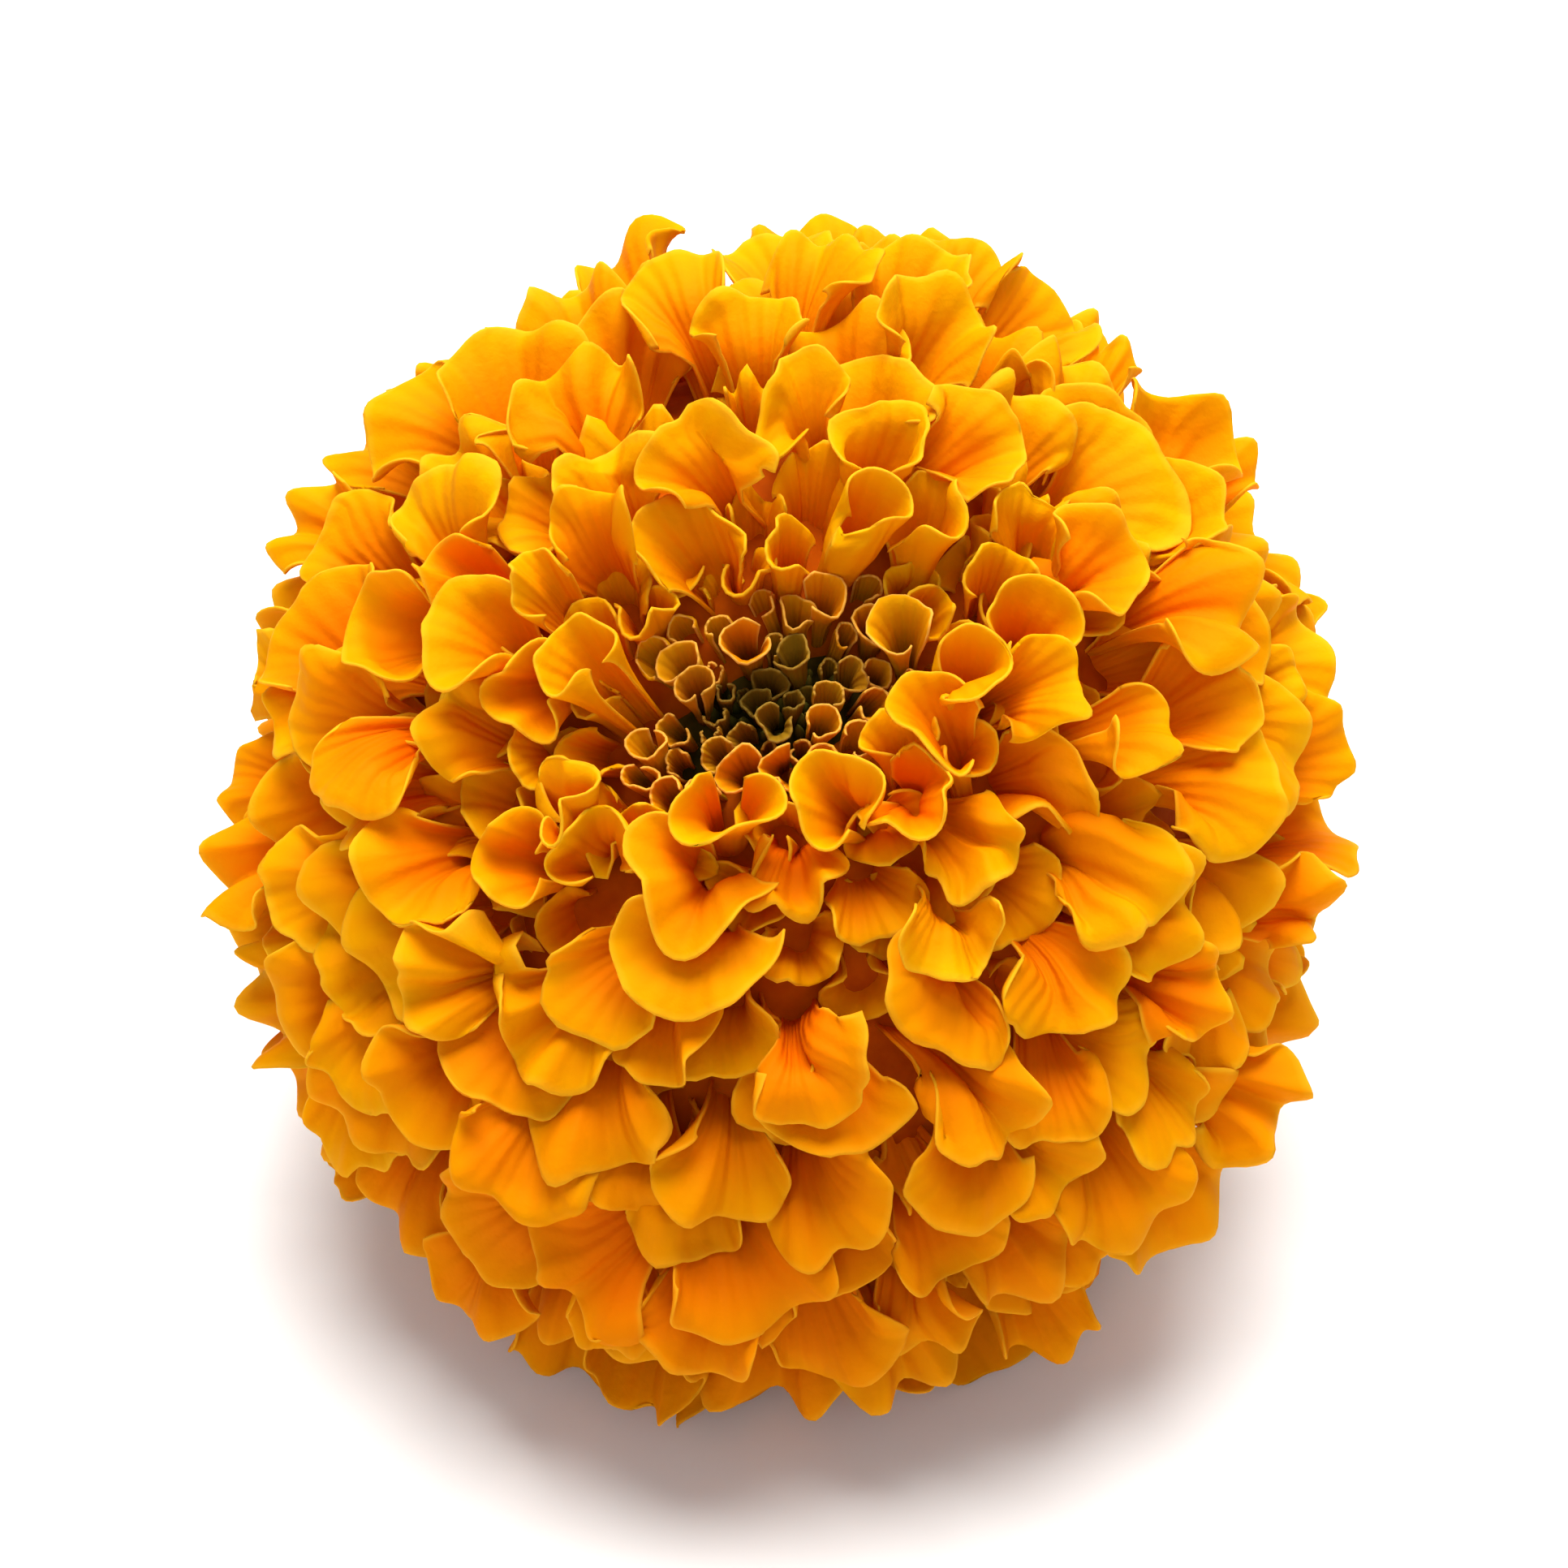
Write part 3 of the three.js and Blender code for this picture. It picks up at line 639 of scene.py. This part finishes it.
def bed_shape():
    """The top of the flower head under the eye's florets, with many tiny olive buds."""
    rng = np.random.default_rng(9)
    rows, columns = 12, 48
    shares = [j / (rows - 1) for j in range(rows)]
    profile = [(0.4 + 12.0 * share, EYE_BED - 0.3 - 1.6 * share ** 2) for share in shares]
    profile += [(11.2, EYE_BED - 7.5), (0.4, EYE_BED - 8.0)]
    points = []
    for radius, height in profile:
        for i in range(columns):
            turn = 2 * math.pi * i / columns
            points.append(eye_direction * height + in_oval(radius * 0.9, turn))
    points += [eye_direction * profile[0][1], eye_direction * profile[-1][1]]
    shape = Shape("along", "bud")
    shape.add_rings(np.array(points), columns, downward=True)
    for k in range(EYE_BUDS):
        place = in_oval(3.4 * math.sqrt((k + 0.5) / EYE_BUDS), k * GOLDEN_TURN)
        axis = unit(eye_direction + place * 0.07 + rng.normal(0, 0.08, 3))
        foot = eye_direction * (EYE_BED - 0.6) + place
        add_bud(shape, foot, axis, rng.uniform(0.42, 0.6), rng.uniform(1.6, 2.6))
    return shape


def add_bud(shape, foot, axis, radius, length):
    """A closed bud: a pointed dome with five lobes."""
    side = unit(np.cross(axis, [0.31, 0.92, 0.24]))
    over = np.cross(axis, side)
    rows, columns = 7, 10
    points = []
    for j in range(rows):
        share = j / (rows - 1)
        wide = radius * math.sqrt(max(0.02, 1 - share ** 2.2)) * (0.75 + 0.5 * share * (1 - share))
        for i in range(columns):
            turn = 2 * math.pi * i / columns
            lobed = wide * (1 + 0.12 * math.cos(5 * turn) * share)
            round_axis = side * math.cos(turn) + over * math.sin(turn)
            points.append(foot + axis * length * share + round_axis * lobed)
    points += [foot, foot + axis * length * 1.03]
    along = np.concatenate([np.repeat(np.linspace(0, 1, rows), columns), [0, 1]])
    shape.add_rings(np.array(points), columns, along=along, bud=1.0)


# ---- Calyx and stem ---------------------------------------------------------------------------------


def core_back_height(radius):
    """How high the core's back lies at a distance from the bloom's axis."""
    return -CORE_BACK + CORE_SLOPE * max(0.0, radius - CORE_SEAT_RADIUS)


CALYX_RIM = core_back_height(CALYX_RADIUS) - GAP
CALYX_FOOT = CALYX_RIM - CALYX_LENGTH


def calyx_shape():
    """A ribbed green cup with pointed teeth and long oil glands between its ribs."""
    rows, columns = 46, 160
    outline = [(STEM_NECK_RADIUS + 0.4, 0.0), (STEM_NECK_RADIUS + 1.6, 0.16), (CALYX_RADIUS * 0.86, 0.52),
               (CALYX_RADIUS, 1 - 2 / CALYX_LENGTH), (CALYX_RADIUS, 1.0)]
    radii, heights = zip(*outline)
    shares = np.linspace(0, 1, rows)
    rounded = np.interp(shares, heights, radii)
    rounded = np.convolve(np.pad(rounded, 4, mode="edge"), np.ones(9) / 9, mode="valid")
    turns = np.arange(columns) * 2 * math.pi / columns
    turn, share = np.meshgrid(turns, shares)
    rib = 0.5 + 0.5 * np.cos(turn * CALYX_RIBS)
    across = (turn * CALYX_RIBS / (2 * math.pi)) % 1 - 0.5
    seam = np.exp(-(across / 0.07) ** 2)

    # Two rows of glands between each two ribs, none of them near the foot or in a tooth's tip.
    in_row = np.abs(np.abs(across) - 0.24) < 0.055
    gland_place = (share * 5.2 + np.floor(turn * CALYX_RIBS / math.pi) * 0.37) % 1 - 0.5
    gland = in_row * np.exp(-(gland_place / 0.28) ** 4)
    gland = gland * smooth(0.22, 0.35, share) * smooth(0.99, 0.9, share)

    radius = rounded[:, None] * (1 + 0.075 * (rib - 1) * smooth(0, 0.3, share)) - 0.22 * seam + 0.16 * gland
    radius -= 0.25 * smooth(0.9, 1.0, share)
    tooth = 1.9 * (1 - rib) * smooth(0.72, 1.0, share)
    height = CALYX_FOOT + CALYX_LENGTH * share - tooth
    outer = np.stack([radius * np.cos(turn), radius * np.sin(turn), height], -1)
    inside = outer[-1] * [0.9, 0.9, 1.0]
    floor_height, floor_radius = core_back_height(0) - GAP, 8.4
    floor_ring = np.stack([floor_radius * np.cos(turns), floor_radius * np.sin(turns),
                           np.full(columns, floor_height)], -1)
    ends = [[0, 0, CALYX_FOOT], [0, 0, floor_height]]
    rest = np.zeros(2 * columns + 2)
    shape = Shape("along", "rib", "gland")
    shape.add_rings(
        np.concatenate([outer.reshape(-1, 3), inside, floor_ring, ends]), columns,
        along=np.concatenate([share.ravel(), rest + 1]), rib=np.concatenate([rib.ravel(), rest]),
        gland=np.concatenate([gland.ravel(), rest]))
    return shape


# The stem's centreline is in millimetres in the row's axes, from the floor's point under the bloom's middle.
sin_face, cos_face = math.sin(math.radians(FACE_ELEVATION)), math.cos(math.radians(FACE_ELEVATION))
bloom_height = math.hypot(BLOOM_HALF_HEIGHT * cos_face, BLOOM_BACK * sin_face) - FLAT_SPOT
neck_y = -(CALYX_FOOT - GAP) * cos_face
neck_z = bloom_height + (CALYX_FOOT - GAP) * sin_face
stem_height = STEM_RADIUS * math.cos(math.pi / STEM_SIDES)
bend_radius = (neck_z - stem_height) / (1 - cos_face)
bend_length = bend_radius * math.radians(FACE_ELEVATION)
stem_length = bend_length + STEM_STRAIGHT


def stem_point(length):
    """The centreline so far from the calyx: an arc down to the floor, then a nearly straight stretch."""
    dip = math.radians(FACE_ELEVATION) - min(length, bend_length) / bend_radius
    along = bend_radius * (sin_face - math.sin(dip)) + max(0.0, length - bend_length)
    height = stem_height + bend_radius * (1 - math.cos(dip))
    swerve = STEM_SWERVE * (max(0.0, length - bend_length * 0.5) / (stem_length - bend_length * 0.5)) ** 2
    return np.array([swerve, neck_y + along, height])


def stem_ring(length, turns, ribs, scale, cut):
    """A ring of points round the stem at a length. `cut` slants it, from 0, square, to 1, the whole slant."""
    middle = stem_point(length)
    forward = np.array([0, cos_face, -sin_face])
    if length > 0.02:
        forward = unit(stem_point(length + 0.01) - stem_point(length - 0.01))
    side = unit(np.cross(forward, [0, 0, 1]))
    over = np.cross(side, forward)
    taper = 1 - float(smooth(0, bend_length * 0.8, length))
    radius = STEM_RADIUS + (STEM_NECK_RADIUS - STEM_RADIUS) * taper
    radius *= 1 + 0.012 * math.sin(length * 0.31) + 0.008 * math.sin(length * 0.83 + 1)
    wide = (radius - 0.16 * (1 - ribs) - 0.06) * scale
    placed = middle + side * (wide * np.cos(turns))[:, None] + over * (wide * np.sin(turns))[:, None]
    slope = math.tan(math.radians(CUT_SLANT))
    return placed - forward * (cut * slope * wide * np.sin(turns))[:, None]


# The cut's rings, from the rim inward: how wide each is, how pale, and how far under the cut's plane.
CUT_RINGS = ((0.93, 0.25, -0.08), (0.82, 0.9, 0.0), (0.45, 1.0, 0.22), (0.18, 0.8, 0.3))


def stem_shape():
    """A ribbed tube with a pale pith at its slanted cut."""
    rows, columns = 150, 72
    turns = np.arange(columns) * 2 * math.pi / columns
    ribs = 0.5 + 0.5 * np.cos(turns * 9 + 0.6)
    points, along = [], []
    for j in range(rows):
        length = stem_length * j / (rows - 1)
        cut = float(smooth(stem_length - 4, stem_length, length))
        points.append(stem_ring(length, turns, ribs, 1.0, cut))
        along.append(np.full(columns, j / (rows - 1)))
    pith = [np.zeros(columns)] * rows
    for scale, value, inset in CUT_RINGS:
        points.append(stem_ring(stem_length - inset, turns, ribs, scale, 1.0))
        pith.append(np.full(columns, value))
        along.append(np.ones(columns))
    points = np.concatenate(points)
    points[:, 2] = np.maximum(points[:, 2], 0.0)
    ends = [stem_point(0), stem_point(stem_length - 0.3)]
    shape = Shape("along", "rib", "pith")
    shape.add_rings(
        np.concatenate([points, ends]), columns, downward=True, along=np.concatenate(along + [[0, 1]]),
        rib=np.concatenate([np.tile(ribs, rows + len(CUT_RINGS)), [0, 0]]),
        pith=np.concatenate(pith + [[0, 0.8]]))
    return shape


# ---- Materials --------------------------------------------------------------------------------------


def new_material(name):
    made = bpy.data.materials.new(name)
    made.use_nodes = True
    made.node_tree.nodes.clear()
    return made, made.node_tree.nodes, made.node_tree.links


def add(nodes, kind, **settings):
    node = nodes.new("ShaderNode" + kind)
    for key, value in settings.items():
        setattr(node, key, value)
    return node


def value_of(nodes, name):
    return add(nodes, "Attribute", attribute_name=name).outputs["Fac"]


def ramp(nodes, links, source, *stops):
    node = add(nodes, "ValToRGB")
    elements = node.color_ramp.elements
    while len(elements) < len(stops):
        elements.new(0.5)
    for element, (position, colour) in zip(elements, stops):
        element.position = position
        element.color = (*colour, 1)
    links.new(source, node.inputs["Fac"])
    return node.outputs["Color"]


def mix(nodes, links, factor, first, second):
    node = add(nodes, "Mix", data_type="RGBA", clamp_factor=True)
    for socket, value in zip((node.inputs[0], node.inputs[6], node.inputs[7]), (factor, first, second)):
        if isinstance(value, bpy.types.NodeSocket):
            links.new(value, socket)
        else:
            socket.default_value = value if isinstance(value, float) else (*value, 1)
    return node.outputs[2]


def maths(nodes, links, operation, first, second=0.0, third=0.0):
    node = add(nodes, "Math", operation=operation)
    for socket, value in zip(node.inputs, (first, second, third)):
        if isinstance(value, bpy.types.NodeSocket):
            links.new(value, socket)
        else:
            socket.default_value = value
    return node.outputs[0]


def times(nodes, links, source, factor):
    return maths(nodes, links, "MULTIPLY", source, factor)


def noise(nodes, links, scale):
    place = add(nodes, "TexCoord").outputs["Object"]
    node = add(nodes, "TexNoise")
    node.inputs["Scale"].default_value = scale
    node.inputs["Detail"].default_value = 3.0
    node.inputs["Roughness"].default_value = 0.55
    links.new(place, node.inputs["Vector"])
    return node.outputs["Fac"]


def shader(nodes, links, colour, roughness, specular):
    surface = add(nodes, "BsdfPrincipled")
    links.new(colour, surface.inputs["Base Color"])
    surface.inputs["Roughness"].default_value = roughness
    surface.inputs["Specular IOR Level"].default_value = specular
    return surface


def bumped(nodes, links, surface, height, strength, depth):
    """Bumps a shader's surface. `depth` is in metres."""
    bump = add(nodes, "Bump")
    bump.inputs["Strength"].default_value = strength
    bump.inputs["Distance"].default_value = depth
    links.new(height, bump.inputs["Height"])
    links.new(bump.outputs["Normal"], surface.inputs["Normal"])


VEINS = 34.0  # radians of the veins' wave from a petal's middle line to its side


def petal_colour(nodes, links, lines, *, throat, middle, lip, rim_colour, back_colour, shade_colour, shading):
    """Deep in the throat and pale at the lip, with each petal's own tint, its veins and folds. The tint also
    paints top light on the upper petals, the rim is painted paler as light glowing through the thin margin,
    and painted shade darkens the lower ray petals; on the eye the same mix gives its olive middle.
    """
    colour = ramp(nodes, links, value_of(nodes, "along"), (0.40, throat), (0.74, middle), (0.97, lip))
    colour = mix(nodes, links, times(nodes, links, value_of(nodes, "back"), 0.55), colour, back_colour)
    warm = mix(nodes, links, 0.22, colour, (0.94, 0.17, 0.0))
    pale = mix(nodes, links, 0.32, colour, (0.89, 0.60, 0.0))
    # Each petal's random tint, with painted top light that makes the upper petals paler.
    tint = maths(nodes, links, "MULTIPLY_ADD", value_of(nodes, "tone"), 0.5, 0.5)
    colour = mix(nodes, links, tint, warm, pale)
    vein = times(nodes, links, maths(nodes, links, "MULTIPLY_ADD", lines, 0.5, 0.5), 0.12)
    colour = mix(nodes, links, vein, colour, (0.82, 0.22, 0.0))
    cloud = times(nodes, links, noise(nodes, links, 260.0), 0.16)
    colour = mix(nodes, links, cloud, colour, (0.95, 0.5, 0.0))
    fold = maths(nodes, links, "MULTIPLY_ADD", value_of(nodes, "fold"), -0.07, 0.07)
    colour = mix(nodes, links, fold, colour, (0.85, 0.16, 0.0))
    # Painted light: the rim is coloured paler, as light glowing through the thin margin.
    colour = mix(nodes, links, times(nodes, links, value_of(nodes, "rim"), 0.8), colour, rim_colour)
    # Painted shade on the lower ray petals; on the eye this mix gives its olive middle instead, the florets'
    # own colour.
    return mix(nodes, links, times(nodes, links, value_of(nodes, "shade"), shading), colour, shade_colour)


def petal_material(name, glow, **colours):
    """A soft petal surface that lets some light through, by the share `glow`."""
    made, nodes, links = new_material(name)
    lines = maths(nodes, links, "SINE", times(nodes, links, value_of(nodes, "across"), VEINS))
    colour = petal_colour(nodes, links, lines, **colours)
    surface = shader(nodes, links, colour, roughness=0.6, specular=0.02)
    fine = maths(nodes, links, "ADD", times(nodes, links, lines, 0.5), noise(nodes, links, 1500.0))
    bumped(nodes, links, surface, fine, strength=0.4, depth=0.00022)
    through = add(nodes, "BsdfTranslucent")
    links.new(mix(nodes, links, 0.5, colour, (1.0, 0.28, 0.0)), through.inputs["Color"])
    both = add(nodes, "MixShader")
    both.inputs["Fac"].default_value = glow
    links.new(surface.outputs[0], both.inputs[1])
    links.new(through.outputs[0], both.inputs[2])
    links.new(both.outputs[0], add(nodes, "OutputMaterial").inputs["Surface"])
    return made


def plain_material(name, colour_maker, roughness, bump_scale, bump_depth, specular=0.4):
    made, nodes, links = new_material(name)
    surface = shader(nodes, links, colour_maker(nodes, links), roughness, specular)
    bumped(nodes, links, surface, noise(nodes, links, bump_scale), strength=0.35, depth=bump_depth)
    links.new(surface.outputs[0], add(nodes, "OutputMaterial").inputs["Surface"])
    return made


def mottled(nodes, links, scale, first, second):
    """A colour that goes between two, given as ramp stops, in clouds of a scale."""
    return ramp(nodes, links, noise(nodes, links, scale), first, second)


# Painted shade: the petals' feet are coloured darker than the petals' throats, for the deep shade between the
# petals.
def feet_and_painted_shade_colour(nodes, links):
    return mottled(nodes, links, 300.0, (0.3, (0.36, 0.05, 0.0)), (0.7, (0.54, 0.10, 0.0)))


def bed_colour(nodes, links):
    ground = mottled(nodes, links, 500.0, (0.35, (0.025, 0.020, 0.002)), (0.7, (0.075, 0.05, 0.004)))
    along = value_of(nodes, "along")
    bud = ramp(nodes, links, along, (0.2, (0.035, 0.035, 0.004)), (0.95, (0.13, 0.11, 0.015)))
    return mix(nodes, links, value_of(nodes, "bud"), ground, bud)


def calyx_colour(nodes, links):
    green = mottled(nodes, links, 240.0, (0.3, (0.085, 0.17, 0.028)), (0.75, (0.16, 0.27, 0.05)))
    rib = times(nodes, links, value_of(nodes, "rib"), 0.35)
    ribbed = mix(nodes, links, rib, green, (0.24, 0.36, 0.09))
    tip = maths(nodes, links, "POWER", value_of(nodes, "along"), 9.0)
    tipped = mix(nodes, links, tip, ribbed, (0.2, 0.2, 0.06))
    gland = times(nodes, links, value_of(nodes, "gland"), 0.75)
    return mix(nodes, links, gland, tipped, (0.16, 0.07, 0.015))


def stem_colour(nodes, links):
    green = mottled(nodes, links, 190.0, (0.3, (0.10, 0.20, 0.035)), (0.75, (0.20, 0.31, 0.07)))
    rib = times(nodes, links, value_of(nodes, "rib"), 0.5)
    ribbed = mix(nodes, links, rib, green, (0.28, 0.40, 0.11))
    return mix(nodes, links, value_of(nodes, "pith"), ribbed, (0.62, 0.68, 0.42))


# The rim colour is painted glow of light through the margins, and the shade colour is painted shade on the
# lower petals.
ray_material = petal_material(
    "ray_petal", 0.30, throat=(0.84, 0.055, 0.0), middle=(0.88, 0.19, 0.0), lip=(0.87, 0.41, 0.0),
    rim_colour=(0.92, 0.56, 0.02), back_colour=(0.80, 0.38, 0.002), shade_colour=(0.70, 0.14, 0.0),
    shading=0.42)
# The rim colour is painted glow; the shade mix gives the eye's olive middle, the florets' own colour.
eye_material = petal_material(
    "eye_petal", 0.20, throat=(0.22, 0.045, 0.001), middle=(0.58, 0.17, 0.002), lip=(0.82, 0.32, 0.003),
    rim_colour=(0.93, 0.49, 0.08), back_colour=(0.50, 0.25, 0.008), shade_colour=(0.05, 0.055, 0.008),
    shading=0.85)
feet_and_painted_shade_material = plain_material(
    "petal_feet_and_painted_shade", feet_and_painted_shade_colour, roughness=0.7, bump_scale=900.0, bump_depth=0.0003, specular=0.03)
bed_material = plain_material(
    "flower_head", bed_colour, roughness=0.7, bump_scale=1200.0, bump_depth=0.0002, specular=0.03)
calyx_material = plain_material(
    "calyx_green", calyx_colour, roughness=0.5, bump_scale=1400.0, bump_depth=0.00006)
stem_material = plain_material(
    "stem_green", stem_colour, roughness=0.48, bump_scale=1200.0, bump_depth=0.00006)

# ---- Placing ----------------------------------------------------------------------------------------

# The stem's neck ring is the stem's lowest x and y in the part, and gives where the bloom's middle stands.
stem_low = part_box("stem")[0]
neck_ring_y = STEM_NECK_RADIUS * math.sin(math.pi / 2 - math.pi / STEM_SIDES) * sin_face
head_x, head_y = stem_low.x * 1000 + STEM_NECK_RADIUS, stem_low.y * 1000 + neck_ring_y - neck_y
head = np.array([head_x, head_y, bloom_height])
head_turn = np.array(Matrix.Rotation(math.radians(90 - FACE_ELEVATION), 3, "X"))
PRESSED_HEIGHT = 2.4  # in millimetres


def in_bloom(points):
    """Places the bloom's points. Low ones are pressed together, so that none comes below the floor."""
    placed = points @ head_turn.T + head
    low = placed[:, 2] < PRESSED_HEIGHT
    placed[low, 2] = PRESSED_HEIGHT * np.exp((placed[low, 2] - PRESSED_HEIGHT) / PRESSED_HEIGHT)
    return placed / 1000


def on_floor(points):
    """Places points that are given from the floor's point under the bloom's middle."""
    return (points + [head[0], head[1], 0]) / 1000


def joined(petals):
    shape = Shape("along", "across", "rim", "fold", "back", "tone", "shade")
    for petal in petals:
        add_petal(shape, petal)
    return shape


def add_piece(name, shape, material, place, node):
    piece = mesh_object(name, shape, material, place)
    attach(piece, "root")
    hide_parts(node)


# The petals lie in rings from the eye outward, one mesh for each, so that no mesh grows too large.
petals = sorted(ray_petals(), key=lambda petal: petal.from_eye)
for number, ring in enumerate(np.array_split(np.arange(len(petals)), PETAL_RINGS), start=1):
    ring_shape = joined(petals[k] for k in ring)
    add_piece(f"petal_ring_{number}", ring_shape, ray_material, in_bloom, "ray_florets")
# The petals' feet, partly real and partly painted shade: they are coloured darker to show as deep shade in
# the gaps.
add_piece("petal_feet_and_painted_shade", core_shape(), feet_and_painted_shade_material, in_bloom, "ray_florets")
near_eye = [petal for petal in petals if petal.from_eye < EYE_ANGLE * 1.75]
eye_shape = joined(eye_florets(near_eye))
add_piece("eye_trumpets", eye_shape, eye_material, in_bloom, "eye_florets")
add_piece("eye_buds", bed_shape(), bed_material, in_bloom, "eye_florets")
add_piece("calyx_cup", calyx_shape(), calyx_material, in_bloom, "calyx")
add_piece("cut_stem", stem_shape(), stem_material, on_floor, "stem")

# ---- Floor, light and camera, in metres --------------------------------------------------------------

FLOOR_HALF = 4
FLOOR_HEIGHT = -0.0002
LIGHT_SIZE = 0.7
CAMERA_LENS = 85
CAMERA_SENSOR = 36
CAMERA_ELEVATION = math.radians(39)
CAMERA_AZIMUTH = math.radians(4)
CAMERA_DISTANCE = 0.262
CAMERA_RAISE = 0.001


def floor_colour(nodes, links):
    return mottled(nodes, links, 3.0, (0.3, (0.86, 0.86, 0.86)), (0.7, (0.88, 0.88, 0.88)))


floor_mesh = bpy.data.meshes.new("floor")
corners = [(FLOOR_HALF * x, FLOOR_HALF * y, FLOOR_HEIGHT) for x, y in ((-1, -1), (1, -1), (1, 1), (-1, 1))]
floor_mesh.from_pydata(corners, [], [(0, 1, 2, 3)])
floor = bpy.data.objects.new("floor", floor_mesh)
bpy.context.scene.collection.objects.link(floor)
floor.data.materials.append(plain_material(
    "pale_floor", floor_colour, roughness=0.8, bump_scale=400.0, bump_depth=0.00002))

world = bpy.data.worlds.new("studio")
bpy.context.scene.world = world
world.use_nodes = True
background = world.node_tree.nodes["Background"]
background.inputs["Color"].default_value = (1.0, 0.99, 0.97, 1)
background.inputs["Strength"].default_value = 0.43


def faced(made, place, aim):
    """Puts a light or the camera at a place, turned to what it aims at."""
    bpy.context.scene.collection.objects.link(made)
    made.location = place
    made.rotation_euler = (aim - made.location).to_track_quat("-Z", "Y").to_euler()


bloom_middle = Vector(head.tolist()) / 1000


def area_light(name, place, power, colour=(1, 1, 1)):
    data = bpy.data.lights.new(name, "AREA")
    data.shape = "DISK"
    data.size = LIGHT_SIZE
    data.energy = power
    data.color = colour
    faced(bpy.data.objects.new(name, data), place, bloom_middle)


area_light("key", (-0.01, 0.12, 0.82), 12.7, (1.0, 0.98, 0.95))
area_light("fill", (0.0, -0.8, 0.5), 1.6)
area_light("back", (0.25, 0.85, 0.45), 2.0)

camera_data = bpy.data.cameras.new("camera")
camera_data.lens = CAMERA_LENS
camera_data.sensor_width = CAMERA_SENSOR
camera_data.clip_start = 0.01
camera_data.clip_end = 20
camera = bpy.data.objects.new("camera", camera_data)
level = math.cos(CAMERA_ELEVATION)
from_aim = Vector((
    level * math.sin(CAMERA_AZIMUTH), -level * math.cos(CAMERA_AZIMUTH), math.sin(CAMERA_ELEVATION)))
camera_aim = bloom_middle + Vector((0, CAMERA_RAISE, CAMERA_RAISE))
faced(camera, camera_aim + from_aim * CAMERA_DISTANCE, camera_aim)
bpy.context.scene.camera = camera

bpy.context.scene.view_settings.view_transform = "Standard"
